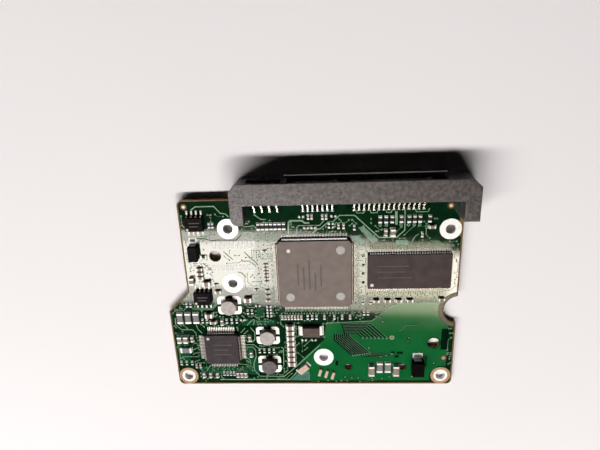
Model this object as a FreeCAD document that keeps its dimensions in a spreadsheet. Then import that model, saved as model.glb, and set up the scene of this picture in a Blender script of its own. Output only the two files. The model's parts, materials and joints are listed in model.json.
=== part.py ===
import FreeCAD
import Part
import Sketcher
import math
import os
import re

# Circuit board of a hard drive, in millimetres.
# The origin is the centre of the lower left screw hole on the board's underside.
# +X runs along the board's long side, +Y towards the edge connector, +Z out of the side with the chips.

SIZES = {
    # Board outline, measured from the lower left screw hole
    "board_thickness": 1.0,
    "left_edge": 3.05,
    "right_edge": 77.6,
    "bottom_edge": 2.9,
    "top_edge": 55.05,
    "step_inset": 6.1,
    "step_start": 22.1,
    "board_corner_radius": 1.5,
    "notch_radius": 4.3,
    "notch_outset": 0.65,
    "notch_y": 21.7,
    # Screw holes and their rings
    "screw_hole_diameter": 2.7,
    "screw_pad_diameter": 5.7,
    "corner_pad_diameter": 4.0,
    "land_thickness": 0.05,
    "right_hole_x": 74.4,
    "upper_right_hole_y": 45.6,
    "left_hole_x": 16.0,
    "upper_left_hole_y": 46.8,
    "middle_left_hole_y": 30.7,
    "lower_middle_hole_x": 40.6,
    "lower_middle_hole_y": 6.4,
    # Locating holes
    "guide_hole_diameter": 3.2,
    "left_guide_x": 11.85,
    "left_guide_y": 39.0,
    "right_guide_x": 71.9,
    "right_guide_y": 11.1,
    "peg_hole_diameter": 1.9,
    "left_peg_x": 47.75,
    "right_peg_x": 63.45,
    "peg_y": 3.0,
    # Fiducial dots
    "fiducial_diameter": 1.15,
    "fiducial_left_x": 4.85,
    "fiducial_left_y": 53.2,
    "fiducial_upper_x": 74.1,
    "fiducial_upper_y": 52.0,
    "fiducial_lower_x": 74.95,
    "fiducial_lower_y": 6.0,
    # Head contact pads
    "head_pad_pitch": 1.2,
    "head_pad_width": 0.85,
    "upper_head_pad_length": 2.2,
    "lower_head_pad_length": 1.6,
    "upper_head_pad_x": 11.9,
    "upper_head_pad_y": 42.2,
    "lower_head_pad_x": 11.3,
    "lower_head_pad_y": 35.5,
    # Connector contacts
    "power_pin_x": 49.47,
    "contact_pitch": 1.27,
    "signal_gap": 5.63,
    "jumper_gap": 6.67,
    "jumper_pitch": 2.0,
    "contact_width": 0.84,
    "contact_thickness": 0.25,
    "contact_setback": 0.5,
    "tail_width": 0.5,
    "tail_reach": 1.65,
    "tail_slope": 0.3,
    "tail_foot": 1.35,
    "jumper_pin_side": 0.5,
    "jumper_pin_setback": 0.8,
    # Connector housing
    "housing_left_margin": 5.55,
    "housing_right_margin": 12.8,
    "housing_rise": 5.0,
    "housing_drop": 1.0,
    "housing_front_reach": 5.05,
    "housing_back_overlap": 0.5,
    "housing_board_clearance": 0.1,
    "housing_chamfer": 2.0,
    "left_arm_radius": 2.0,
    "left_arm_width": 3.3,
    "right_arm_width": 3.75,
    "arm_length": 5.25,
    "bay_back_wall": 1.35,
    "bay_roof": 1.0,
    "bay_floor": 1.0,
    "bay_left_margin": 2.5,
    "bay_right_margin": 3.3,
    "lip_length": 0.8,
    "lip_side": 0.8,
    "tongue_thickness": 1.23,
    "tongue_rise": 1.4,
    "tongue_margin": 1.395,
    "tongue_setback": 0.4,
    "key_width": 0.85,
    "key_drop": 1.3,
    "jumper_bay_margin": 1.4,
    "jumper_bay_floor": 0.4,
    # Chip packages
    "chip_standoff": 0.1,
    "lead_thickness": 0.15,
    "flat_pack_height": 1.4,
    "flat_pack_draft": 18.0,
    "flat_pack_reach": 1.0,
    "flat_pack_foot": 0.5,
    "flat_pack_shoulder": 0.2,
    "flat_pack_corner": 0.9,
    "controller_side": 20.0,
    "controller_x": 38.9,
    "controller_y": 33.65,
    "controller_lead_pitch": 0.4,
    "controller_lead_width": 0.18,
    "memory_length": 22.22,
    "memory_width": 10.16,
    "memory_height": 1.0,
    "memory_gap": 3.16,
    "memory_raise": 0.35,
    "memory_reach": 0.8,
    "memory_foot": 0.45,
    "memory_shoulder": 0.16,
    "memory_lead_pitch": 0.65,
    "memory_lead_width": 0.3,
    "memory_corner": 0.2,
    "memory_draft": 10.0,
    "driver_side": 10.0,
    "driver_x": 11.23,
    "driver_y": 10.06,
    "driver_lead_pitch": 0.5,
    "driver_lead_width": 0.22,
    "driver_corner": 0.5,
    "small_pack_length": 4.9,
    "small_pack_width": 3.9,
    "small_pack_height": 1.5,
    "small_pack_draft": 8.0,
    "small_pack_corner": 0.15,
    "small_pack_reach": 1.05,
    "small_pack_foot": 0.6,
    "small_pack_shoulder": 0.2,
    "small_pack_lead_pitch": 1.27,
    "small_pack_lead_width": 0.42,
    "flash_x": 7.36,
    "flash_y": 48.6,
    "power_switch_x": 7.25,
    "power_switch_y": 26.65,
    # Diodes
    "diode_draft": 6.0,
    "diode_corner": 0.12,
    "rectifier_x": 6.2,
    "rectifier_y": 40.3,
    "rectifier_length": 4.3,
    "rectifier_width": 2.6,
    "rectifier_height": 2.1,
    "rectifier_tab_width": 1.5,
    "clamp_diode_x": 67.6,
    "clamp_diode_y": 3.3,
    "clamp_diode_length": 4.6,
    "clamp_diode_width": 3.6,
    "clamp_diode_height": 2.3,
    "clamp_diode_tab_width": 2.2,
    "diode_tab_thickness": 0.2,
    "diode_tab_foot": 0.9,
    # Inductors
    "core_diameter": 4.4,
    "core_height": 1.8,
    "core_flange": 0.45,
    "core_post_diameter": 2.0,
    "winding_diameter": 3.9,
    "upper_inductor_x": 14.45,
    "upper_inductor_y": 23.85,
    "middle_inductor_x": 24.72,
    "middle_inductor_y": 13.9,
    "lower_inductor_x": 24.72,
    "lower_inductor_y": 4.1,
    "inductor_land_length": 6.7,
    "inductor_land_width": 5.7,
    "inductor_land_band": 1.0,
    "inductor_land_side_gap": 0.8,
    "inductor_land_end_gap": 2.0,
    "inductor_land_corner": 1.0,
    # Large brown chip
    "filter_capacitor_x": 37.22,
    "filter_capacitor_y": 15.4,
    "filter_capacitor_length": 4.85,
    "filter_capacitor_width": 2.85,
    "filter_capacitor_height": 1.3,
    "filter_end_length": 0.65,
    "filter_end_height": 0.35,
    # Tilted sensor and motor contacts
    "sensor_x": 34.6,
    "sensor_y": 2.73,
    "sensor_length": 3.34,
    "sensor_width": 1.83,
    "sensor_height": 1.0,
    "sensor_angle": 42.0,
    "sensor_end_length": 0.6,
    "sensor_end_height": 0.1,
    "motor_contact_x": 39.42,
    "motor_contact_y": 1.3,
    "motor_contact_pitch": 1.96,
    "motor_contact_length": 2.35,
    "motor_contact_width": 0.75,
    "motor_contact_height": 0.6,
    "motor_contact_angle": 16.5,
    # Chip resistor and capacitor sizes
    "large_length": 3.2,
    "large_width": 1.6,
    "large_end": 0.5,
    "large_resistor_height": 0.6,
    "large_capacitor_height": 1.2,
    "medium_length": 2.0,
    "medium_width": 1.25,
    "medium_end": 0.45,
    "medium_capacitor_height": 1.15,
    "middle_length": 1.6,
    "middle_width": 0.8,
    "middle_end": 0.3,
    "middle_resistor_height": 0.45,
    "middle_capacitor_height": 0.8,
    "small_length": 1.0,
    "small_width": 0.5,
    "small_end": 0.22,
    "small_resistor_height": 0.35,
    "small_capacitor_height": 0.5,
}

POWER_COUNT = 15
SIGNAL_COUNT = 7
JUMPER_COUNT = 4
HEAD_PAD_COUNT = 10
MOTOR_CONTACT_COUNT = 3
CONTROLLER_SIDE_LEADS = 44
MEMORY_SIDE_LEADS = 33
DRIVER_SIDE_LEADS = 16
SMALL_PACK_SIDE_LEADS = 4

# Rows of chips: how many, the chip's size and family, the axis that a chip lies along,
# the axis that the row steps along, what the row is placed from, and its first place and step.
CHIP_ROWS = (
    {"name": "column_caps", "group": "column_capacitor", "count": 8, "size": "medium", "family": "capacitor",
     "along": "x", "step": "y", "from": "board", "x": 31.3, "y": 16.82, "pitch": -1.75},
    {"name": "sense_row", "group": "sense_resistor", "count": 3, "size": "large", "family": "resistor",
     "along": "y", "step": "x", "from": "board", "x": -0.2, "y": 19.9, "pitch": 2.33},
    {"name": "sense_flat", "group": "sense_resistor", "count": 1, "size": "large", "family": "resistor",
     "along": "x", "step": "x", "from": "board", "x": 0.3, "y": 9.2, "pitch": 0.0},
    {"name": "sense_pair", "group": "sense_resistor", "count": 2, "size": "large", "family": "resistor",
     "along": "y", "step": "x", "from": "board", "x": 56.8, "y": 2.95, "pitch": 2.35},
    {"name": "supply_caps", "group": "chip_capacitor", "count": 2, "size": "large", "family": "capacitor",
     "along": "y", "step": "x", "from": "board", "x": 54.4, "y": 2.1, "pitch": 7.1},
    {"name": "left_caps", "group": "chip_capacitor", "count": 2, "size": "medium", "family": "capacitor",
     "along": "y", "step": "x", "from": "board", "x": -1.05, "y": 13.0, "pitch": 1.8},
    {"name": "left_cap", "group": "chip_capacitor", "count": 1, "size": "middle", "family": "capacitor",
     "along": "y", "step": "x", "from": "board", "x": 2.58, "y": 13.0, "pitch": 0.0},
    {"name": "switch_cap", "group": "chip_capacitor", "count": 1, "size": "medium", "family": "capacitor",
     "along": "x", "step": "x", "from": "board", "x": 8.37, "y": 20.9, "pitch": 0.0},
    {"name": "driver_cap", "group": "chip_capacitor", "count": 1, "size": "middle", "family": "capacitor",
     "along": "x", "step": "x", "from": "board", "x": 9.3, "y": 18.5, "pitch": 0.0},
    {"name": "edge_cap", "group": "chip_capacitor", "count": 1, "size": "medium", "family": "capacitor",
     "along": "y", "step": "x", "from": "board", "x": 4.7, "y": 31.8, "pitch": 0.0},
    {"name": "head_cap", "group": "chip_capacitor", "count": 1, "size": "medium", "family": "capacitor",
     "along": "x", "step": "x", "from": "board", "x": 8.8, "y": 31.0, "pitch": 0.0},
    {"name": "core_cap", "group": "chip_capacitor", "count": 1, "size": "medium", "family": "capacitor",
     "along": "x", "step": "x", "from": "board", "x": 19.9, "y": 25.8, "pitch": 0.0},
    {"name": "power_cap", "group": "chip_capacitor", "count": 1, "size": "medium", "family": "capacitor",
     "along": "y", "step": "x", "from": "connector", "x": 10.03, "y": -9.95, "pitch": 0.0},
    {"name": "jumper_row", "group": "small_resistor", "count": 7, "size": "middle", "family": "resistor",
     "along": "y", "step": "x", "from": "connector", "x": -25.27, "y": -7.75, "pitch": 1.13},
    {"name": "power_row_left", "group": "small_resistor", "count": 3, "size": "middle", "family": "resistor",
     "along": "y", "step": "x", "from": "connector", "x": 6.73, "y": -6.45, "pitch": 1.55},
    {"name": "power_row_mid", "group": "small_resistor", "count": 1, "size": "middle", "family": "resistor",
     "along": "y", "step": "x", "from": "connector", "x": 12.2, "y": -6.45, "pitch": 0.0},
    {"name": "power_row_right", "group": "small_resistor", "count": 3, "size": "middle", "family": "resistor",
     "along": "y", "step": "x", "from": "connector", "x": 14.2, "y": -6.45, "pitch": 1.4},
    {"name": "power_row_end", "group": "small_resistor", "count": 1, "size": "middle", "family": "resistor",
     "along": "y", "step": "x", "from": "connector", "x": 19.45, "y": -6.45, "pitch": 0.0},
    {"name": "power_low", "group": "small_capacitor", "count": 1, "size": "middle", "family": "capacitor",
     "along": "y", "step": "x", "from": "connector", "x": 8.2, "y": -10.05, "pitch": 0.0},
    {"name": "power_side", "group": "small_capacitor", "count": 1, "size": "middle", "family": "capacitor",
     "along": "x", "step": "x", "from": "connector", "x": 20.1, "y": -8.65, "pitch": 0.0},
    {"name": "power_dot", "group": "small_capacitor", "count": 1, "size": "small", "family": "capacitor",
     "along": "y", "step": "x", "from": "connector", "x": 17.7, "y": -10.85, "pitch": 0.0},
    {"name": "signal_left", "group": "small_capacitor", "count": 2, "size": "small", "family": "capacitor",
     "along": "y", "step": "x", "from": "connector", "x": -11.97, "y": -5.3, "pitch": 0.95},
    {"name": "signal_right", "group": "small_capacitor", "count": 2, "size": "small", "family": "capacitor",
     "along": "y", "step": "x", "from": "connector", "x": -8.27, "y": -5.4, "pitch": 1.0},
    {"name": "signal_side", "group": "small_resistor", "count": 1, "size": "small", "family": "resistor",
     "along": "x", "step": "x", "from": "connector", "x": -5.37, "y": -5.25, "pitch": 0.0},
    {"name": "signal_far", "group": "small_resistor", "count": 1, "size": "small", "family": "resistor",
     "along": "x", "step": "x", "from": "connector", "x": -13.77, "y": -5.25, "pitch": 0.0},
    {"name": "crystal_caps", "group": "small_capacitor", "count": 2, "size": "small", "family": "capacitor",
     "along": "x", "step": "x", "from": "controller_top", "x": -2.0, "y": 3.05, "pitch": 1.9},
    {"name": "top_stack", "group": "small_resistor", "count": 2, "size": "small", "family": "resistor",
     "along": "x", "step": "y", "from": "controller_top", "x": 4.5, "y": 4.05, "pitch": -1.0},
    {"name": "top_pair", "group": "small_capacitor", "count": 2, "size": "small", "family": "capacitor",
     "along": "y", "step": "x", "from": "controller_top", "x": 6.5, "y": 3.3, "pitch": 1.3},
    {"name": "top_corner", "group": "small_resistor", "count": 1, "size": "small", "family": "resistor",
     "along": "y", "step": "x", "from": "controller_top", "x": 10.6, "y": 2.85, "pitch": 0.0},
    {"name": "flash_pair", "group": "small_resistor", "count": 2, "size": "small", "family": "resistor",
     "along": "y", "step": "x", "from": "board", "x": 11.1, "y": 47.85, "pitch": 0.9},
    {"name": "rectifier_side", "group": "small_resistor", "count": 1, "size": "middle", "family": "resistor",
     "along": "x", "step": "x", "from": "board", "x": 8.7, "y": 39.0, "pitch": 0.0},
    {"name": "left_stack", "group": "small_capacitor", "count": 3, "size": "middle", "family": "capacitor",
     "along": "x", "step": "y", "from": "board", "x": 7.2, "y": 35.3, "pitch": -1.3},
    {"name": "head_dot", "group": "small_capacitor", "count": 1, "size": "small", "family": "capacitor",
     "along": "x", "step": "x", "from": "board", "x": 11.3, "y": 30.5, "pitch": 0.0},
    {"name": "head_bar", "group": "small_capacitor", "count": 1, "size": "middle", "family": "capacitor",
     "along": "x", "step": "x", "from": "board", "x": 11.7, "y": 28.3, "pitch": 0.0},
    {"name": "left_array", "group": "small_capacitor", "count": 6, "size": "small", "family": "capacitor",
     "along": "x", "step": "y", "from": "controller_left", "x": -3.4, "y": 2.65, "pitch": -1.02},
    {"name": "left_array_top", "group": "small_capacitor", "count": 1, "size": "small", "family": "capacitor",
     "along": "x", "step": "y", "from": "controller_left", "x": -3.4, "y": 6.65, "pitch": 0.0},
    {"name": "left_array_low", "group": "small_capacitor", "count": 3, "size": "small", "family": "capacitor",
     "along": "x", "step": "y", "from": "controller_left", "x": -3.35, "y": -5.25, "pitch": -1.55},
    {"name": "core_dot", "group": "small_resistor", "count": 2, "size": "small", "family": "resistor",
     "along": "x", "step": "y", "from": "board", "x": 22.5, "y": 28.8, "pitch": -5.2},
    {"name": "switch_pair", "group": "small_resistor", "count": 2, "size": "small", "family": "resistor",
     "along": "y", "step": "x", "from": "board", "x": 2.2, "y": 24.05, "pitch": 1.1},
    {"name": "driver_pair", "group": "small_resistor", "count": 2, "size": "small", "family": "resistor",
     "along": "y", "step": "x", "from": "board", "x": 6.2, "y": 18.85, "pitch": 1.3},
    {"name": "driver_post", "group": "small_capacitor", "count": 1, "size": "middle", "family": "capacitor",
     "along": "y", "step": "x", "from": "board", "x": 11.9, "y": 18.5, "pitch": 0.0},
    {"name": "driver_top_row", "group": "small_resistor", "count": 3, "size": "small", "family": "resistor",
     "along": "y", "step": "x", "from": "board", "x": 13.2, "y": 18.75, "pitch": 1.45},
    {"name": "driver_bar", "group": "small_resistor", "count": 1, "size": "small", "family": "resistor",
     "along": "x", "step": "x", "from": "board", "x": 17.8, "y": 19.1, "pitch": 0.0},
    {"name": "inductor_pair", "group": "small_resistor", "count": 2, "size": "small", "family": "resistor",
     "along": "y", "step": "x", "from": "board", "x": 19.5, "y": 21.7, "pitch": 1.2},
    {"name": "array_row", "group": "small_resistor", "count": 4, "size": "small", "family": "resistor",
     "along": "x", "step": "y", "from": "board", "x": 25.6, "y": 23.3, "pitch": -1.0},
    {"name": "under_left", "group": "small_capacitor", "count": 7, "size": "small", "family": "capacitor",
     "along": "y", "step": "x", "from": "controller_low", "x": 0.3, "y": -3.9, "pitch": 0.9},
    {"name": "under_middle", "group": "small_resistor", "count": 3, "size": "small", "family": "resistor",
     "along": "y", "step": "x", "from": "controller_low", "x": 7.5, "y": -3.9, "pitch": 1.25},
    {"name": "under_dot", "group": "small_capacitor", "count": 1, "size": "small", "family": "capacitor",
     "along": "y", "step": "x", "from": "controller_low", "x": 12.2, "y": -3.9, "pitch": 0.0},
    {"name": "under_right", "group": "small_capacitor", "count": 3, "size": "small", "family": "capacitor",
     "along": "y", "step": "x", "from": "controller_low", "x": 15.0, "y": -3.9, "pitch": 2.2},
    {"name": "bus_pair", "group": "small_resistor", "count": 2, "size": "small", "family": "resistor",
     "along": "y", "step": "x", "from": "board", "x": 52.2, "y": 21.0, "pitch": 1.1},
    {"name": "bus_dots", "group": "small_resistor", "count": 2, "size": "small", "family": "resistor",
     "along": "y", "step": "x", "from": "board", "x": 51.9, "y": 24.5, "pitch": 2.0},
    {"name": "under_memory", "group": "small_capacitor", "count": 4, "size": "middle", "family": "capacitor",
     "along": "x", "step": "x", "from": "memory_low", "x": -8.67, "y": -4.0, "pitch": 3.05},
    {"name": "memory_end", "group": "small_capacitor", "count": 1, "size": "middle", "family": "capacitor",
     "along": "x", "step": "x", "from": "memory_low", "x": 9.0, "y": -3.7, "pitch": 0.0},
    {"name": "low_left_row", "group": "small_resistor", "count": 3, "size": "small", "family": "resistor",
     "along": "y", "step": "x", "from": "board", "x": -1.7, "y": 4.6, "pitch": 1.6},
    {"name": "low_left_pair", "group": "small_capacitor", "count": 2, "size": "small", "family": "capacitor",
     "along": "y", "step": "x", "from": "board", "x": 2.8, "y": 3.55, "pitch": 1.15},
    {"name": "bottom_left", "group": "small_capacitor", "count": 3, "size": "middle", "family": "capacitor",
     "along": "y", "step": "x", "from": "board", "x": 4.8, "y": 0.5, "pitch": 2.0},
    {"name": "bottom_row", "group": "small_resistor", "count": 4, "size": "small", "family": "resistor",
     "along": "y", "step": "x", "from": "board", "x": 10.8, "y": 0.8, "pitch": 1.0},
    {"name": "bottom_right", "group": "small_capacitor", "count": 3, "size": "middle", "family": "capacitor",
     "along": "y", "step": "x", "from": "board", "x": 15.0, "y": 0.6, "pitch": 1.2},
    {"name": "drum_posts", "group": "small_capacitor", "count": 2, "size": "middle", "family": "capacitor",
     "along": "y", "step": "y", "from": "board", "x": 19.5, "y": 13.1, "pitch": -5.4},
    {"name": "inductor_row", "group": "small_resistor", "count": 4, "size": "small", "family": "resistor",
     "along": "y", "step": "x", "from": "board", "x": 22.0, "y": 8.7, "pitch": 1.4},
    {"name": "filter_pair", "group": "small_resistor", "count": 2, "size": "small", "family": "resistor",
     "along": "x", "step": "x", "from": "board", "x": 35.1, "y": 12.3, "pitch": 2.8},
)

# Where a row of chips is placed from
ROW_ANCHORS = {
    "board": ("0", "0"),
    "connector": ("power_pin_x", "top_edge"),
    "controller_top": ("controller_x", "controller_y + controller_side / 2"),
    "controller_left": ("controller_x - controller_side / 2", "controller_y"),
    "controller_low": ("controller_x - controller_side / 2", "controller_y - controller_side / 2"),
    "memory_low": ("controller_x + controller_side / 2 + flat_pack_reach + memory_gap + memory_length / 2",
                   "controller_y + memory_raise - memory_width / 2"),
}

# Derived places, as expressions of the sizes
BOARD_TOP = "board_thickness"
LAND_TOP = "(board_thickness + land_thickness)"
SIGNAL_PIN_X = f"(power_pin_x - signal_gap - {SIGNAL_COUNT - 1} * contact_pitch)"
LAST_POWER_X = f"(power_pin_x + {POWER_COUNT - 1} * contact_pitch)"
LAST_SIGNAL_X = "(power_pin_x - signal_gap)"
LAST_JUMPER_X = f"({SIGNAL_PIN_X} - jumper_gap)"
JUMPER_PIN_X = f"({LAST_JUMPER_X} - {JUMPER_COUNT - 1} * jumper_pitch)"
HOUSING_LEFT = f"({JUMPER_PIN_X} - housing_left_margin)"
HOUSING_RIGHT = f"({LAST_POWER_X} + housing_right_margin)"
HOUSING_BACK = "(top_edge - housing_back_overlap)"
HOUSING_FRONT = "(top_edge + housing_front_reach)"
HOUSING_TOP = "(board_thickness + housing_rise)"
BAY_BACK = f"({HOUSING_BACK} + bay_back_wall)"
BAY_LEFT = f"({SIGNAL_PIN_X} - tongue_margin - bay_left_margin)"
BAY_RIGHT = f"({LAST_POWER_X} + tongue_margin + bay_right_margin)"
BAY_BOTTOM = "(bay_floor - housing_drop)"
BAY_TOP = f"({HOUSING_TOP} - bay_roof)"
TONGUE_BOTTOM = "(board_thickness + tongue_rise)"
MEMORY_X = "(controller_x + controller_side / 2 + flat_pack_reach + memory_gap + memory_length / 2)"
MEMORY_Y = "(controller_y + memory_raise)"

# How a sketch numbers its axes and the points of an element
Y_AXIS, X_AXIS = range(-2, 0)
START_OF, END_OF, CENTRE_OF = range(1, 4)

doc = FreeCAD.newDocument("drive_board")
sheet = doc.addObject("Spreadsheet::Sheet", "Sizes")


def fill_sheet():
    """Writes every driving size to the sheet, with its name as the cell's alias."""
    sizes = dict(SIZES)
    for row in CHIP_ROWS:
        for field in ("x", "y", "pitch"):
            sizes[f"{row['name']}_{field}"] = row[field]
    for line, (name, value) in enumerate(sizes.items(), start=1):
        sheet.set(f"A{line}", name)
        sheet.set(f"B{line}", str(value))
        sheet.setAlias(f"B{line}", name)
    doc.recompute()


def cells(text):
    """Writes the sheet's name before each size that an expression names."""
    return re.sub(r"\b([a-z]\w*)\b(?!\()", r"Sizes.\1", text)


def size(name):
    """Reads one size from the sheet."""
    return float(sheet.get(name))


def bind(part, expressions):
    """Ties an object's properties to expressions of the sizes."""
    for prop, text in expressions.items():
        part.setExpression(prop, cells(text))


def place(part, x, y, z):
    """Ties an object's base point to expressions of the sizes."""
    bind(part, {"Placement.Base.x": x, "Placement.Base.y": y, "Placement.Base.z": z})


def block(label, left, front, bottom, length, width, height):
    """A box from its lowest corner."""
    part = doc.addObject("Part::Box", label)
    bind(part, {"Length": length, "Width": width, "Height": height})
    place(part, left, front, bottom)
    return part


def centred_block(label, x, y, bottom, length, width, height):
    """A box from the centre of its base."""
    return block(label, f"{x} - ({length}) / 2", f"{y} - ({width}) / 2", bottom, length, width, height)


def turned_block(label, x, y, bottom, length, width, height, angle):
    """A box from the centre of its base, turned about the vertical."""
    left = f"{x} - (({length}) * cos({angle}) - ({width}) * sin({angle})) / 2"
    front = f"{y} - (({length}) * sin({angle}) + ({width}) * cos({angle})) / 2"
    part = block(label, left, front, bottom, length, width, height)
    part.setExpression("Placement.Rotation.Angle", cells(angle))
    return part


def rod(label, x, y, bottom, diameter, height):
    """An upright cylinder."""
    part = doc.addObject("Part::Cylinder", label)
    bind(part, {"Radius": f"({diameter}) / 2", "Height": height})
    place(part, x, y, bottom)
    return part


def cut(label, base, tool):
    """One object with another taken out of it."""
    part = doc.addObject("Part::Cut", label)
    part.Base = base
    part.Tool = tool
    return part


def fused(label, pieces):
    """Several objects joined to one solid."""
    part = doc.addObject("Part::MultiFuse", label)
    part.Shapes = pieces
    part.Refine = True
    return part


def group(label, pieces):
    """Separate solids kept together in one node."""
    part = doc.addObject("Part::Compound", label)
    part.Links = pieces
    return part


def ring(label, x, y, bottom, outer, inner, height):
    """An upright tube or ring."""
    disc = rod(f"{label}_disc", x, y, bottom, outer, height)
    hole = rod(f"{label}_hole", x, y, bottom, inner, height)
    return cut(label, disc, hole)


def flat_ring(label, x, y, outer, inner):
    """A ring of bare metal on the board."""
    return ring(label, x, y, BOARD_TOP, outer, inner, "land_thickness")


def upright_edges(shape, chosen):
    """Numbers of the shape's vertical edges whose place passes a test."""
    numbers = []
    for number, edge in enumerate(shape.Edges, start=1):
        first, last = edge.Vertexes[0].Point, edge.Vertexes[-1].Point
        upright = math.hypot(first.x - last.x, first.y - last.y) < Part.Precision.confusion()
        if upright and chosen(first.x, first.y):
            numbers.append(number)
    return numbers


def near(first, second):
    """True where two lengths are the same to the modeller's own precision."""
    return abs(first - second) < 1000 * Part.Precision.confusion()


def dressed(kind, label, base, width, chosen):
    """A copy of an object with some of its vertical edges rounded or chamfered."""
    doc.recompute()
    part = doc.addObject(f"Part::{kind}", label)
    part.Base = base
    part.Edges = [(number, width, width) for number in upright_edges(base.Shape, chosen)]
    return part


def new_body(label, x, y, z):
    """A body whose own origin stands at a place on the board."""
    body = doc.addObject("PartDesign::Body", label)
    place(body, x, y, z)
    return body


def sketch_on(body, name):
    """A sketch on the body's horizontal origin plane."""
    sketch = body.newObject("Sketcher::SketchObject", name)
    plane = next(feature for feature in body.Origin.OriginFeatures if feature.Role == "XY_Plane")
    sketch.AttachmentSupport = [(plane, "")]
    sketch.MapMode = "FlatFace"
    return sketch


def pin_point(sketch, element, point, x, y):
    """Holds a sketch point at its distances from the sketch's origin."""
    for kind, axis, text in (("DistanceX", Y_AXIS, x), ("DistanceY", X_AXIS, y)):
        if text == "0":
            sketch.addConstraint(Sketcher.Constraint("PointOnObject", element, point, axis))
        else:
            held = Sketcher.Constraint(kind, X_AXIS, START_OF, element, point, 1.0)
            index = sketch.addConstraint(held)
            sketch.setExpression(f"Constraints[{index}]", cells(text))


def draw_polygon(sketch, corners):
    """Draws a closed polygon whose corners are held by expressions."""
    count = len(corners)
    turn = 2 * math.pi / count
    rough = [FreeCAD.Vector(math.cos(turn * i), math.sin(turn * i), 0) for i in range(count)]
    for i in range(count):
        sketch.addGeometry(Part.LineSegment(rough[i], rough[(i + 1) % count]), False)
    for i, (x, y) in enumerate(corners):
        sketch.addConstraint(Sketcher.Constraint("Coincident", i, END_OF, (i + 1) % count, START_OF))
        pin_point(sketch, i, START_OF, x, y)


def draw_circle(sketch, x, y, diameter):
    """Draws a circle whose centre and diameter are held by expressions."""
    upward = FreeCAD.Vector(0, 0, 1)
    element = sketch.addGeometry(Part.Circle(FreeCAD.Vector(1, 1, 0), upward, 1.0), False)
    pin_point(sketch, element, CENTRE_OF, x, y)
    index = sketch.addConstraint(Sketcher.Constraint("Diameter", element, 1.0))
    sketch.setExpression(f"Constraints[{index}]", cells(diameter))


def circuit_board():
    """The laminate: a stepped sheet with rounded corners, screw holes, locating holes and an edge notch."""
    body = new_body("circuit_board", "-left_edge", "-bottom_edge", "0")
    outline = sketch_on(body, "board_outline")
    step_top = "bottom_edge + step_start + step_inset"
    draw_polygon(outline, (
        ("0", "0"),
        ("left_edge + right_edge", "0"),
        ("left_edge + right_edge", "bottom_edge + top_edge"),
        ("step_inset", "bottom_edge + top_edge"),
        ("step_inset", step_top),
        ("0", "bottom_edge + step_start"),
    ))
    sheet_pad = body.newObject("PartDesign::Pad", "board_sheet")
    sheet_pad.Profile = outline
    bind(sheet_pad, {"Length": "board_thickness"})
    doc.recompute()
    depth = size("bottom_edge") + size("top_edge")
    corners = upright_edges(sheet_pad.Shape, lambda x, y: near(y, 0) or near(y, depth))
    rounding = body.newObject("PartDesign::Fillet", "board_corners")
    rounding.Base = (sheet_pad, [f"Edge{number}" for number in corners])
    bind(rounding, {"Radius": "board_corner_radius"})
    holes = sketch_on(body, "board_holes")
    for x, y in screw_places():
        draw_circle(holes, f"left_edge + {x}", f"bottom_edge + {y}", "screw_hole_diameter")
    for side in ("left", "right"):
        guide_y = f"bottom_edge + {side}_guide_y"
        draw_circle(holes, f"left_edge + {side}_guide_x", guide_y, "guide_hole_diameter")
        draw_circle(holes, f"left_edge + {side}_peg_x", "bottom_edge + peg_y", "peg_hole_diameter")
    draw_circle(holes, "left_edge + right_edge + notch_outset", "bottom_edge + notch_y", "2 * notch_radius")
    openings = body.newObject("PartDesign::Pocket", "board_openings")
    openings.Profile = holes
    openings.Type = "ThroughAll"
    openings.Reversed = True
    doc.recompute()
    if openings.Shape.Volume >= rounding.Shape.Volume:
        raise RuntimeError("the board's holes cut nothing")
    return body


def inner_screw_places():
    """Centres of the screw holes with wide rings."""
    return (
        ("left_hole_x", "upper_left_hole_y"),
        ("left_hole_x", "middle_left_hole_y"),
        ("right_hole_x", "upper_right_hole_y"),
        ("lower_middle_hole_x", "lower_middle_hole_y"),
    )


def corner_screw_places():
    """Centres of the screw holes at the lower corners, the first of them the origin."""
    return (("0", "0"), ("right_hole_x", "0"))


def screw_places():
    """Centres of all screw holes."""
    return corner_screw_places() + inner_screw_places()


def board_metal():
    """Bare metal on the board: screw rings, fiducial dots and the head connector's pads."""
    wide = [flat_ring(f"screw_pad_{i}", x, y, "screw_pad_diameter", "screw_hole_diameter")
            for i, (x, y) in enumerate(inner_screw_places())]
    narrow = [flat_ring(f"corner_pad_{i}", x, y, "corner_pad_diameter", "screw_hole_diameter")
              for i, (x, y) in enumerate(corner_screw_places())]
    borders = [flat_ring(f"corner_border_{i}", x, y, "screw_pad_diameter", "corner_pad_diameter")
               for i, (x, y) in enumerate(corner_screw_places())]
    dots = []
    for dot in ("fiducial_left", "fiducial_upper", "fiducial_lower"):
        dots.append(rod(dot, f"{dot}_x", f"{dot}_y", BOARD_TOP, "fiducial_diameter", "land_thickness"))
    pads = []
    for row in ("upper_head_pad", "lower_head_pad"):
        for i in range(HEAD_PAD_COUNT):
            pads.append(centred_block(f"{row}_{i}", f"{row}_x + {i} * head_pad_pitch", f"{row}_y", BOARD_TOP,
                                      "head_pad_width", f"{row}_length", "land_thickness"))
    return [
        group("screw_pads", wide),
        group("corner_screw_pads", narrow),
        group("corner_pad_borders", borders),
        group("fiducial_dots", dots),
        group("head_contact_pads", pads),
    ]


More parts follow.
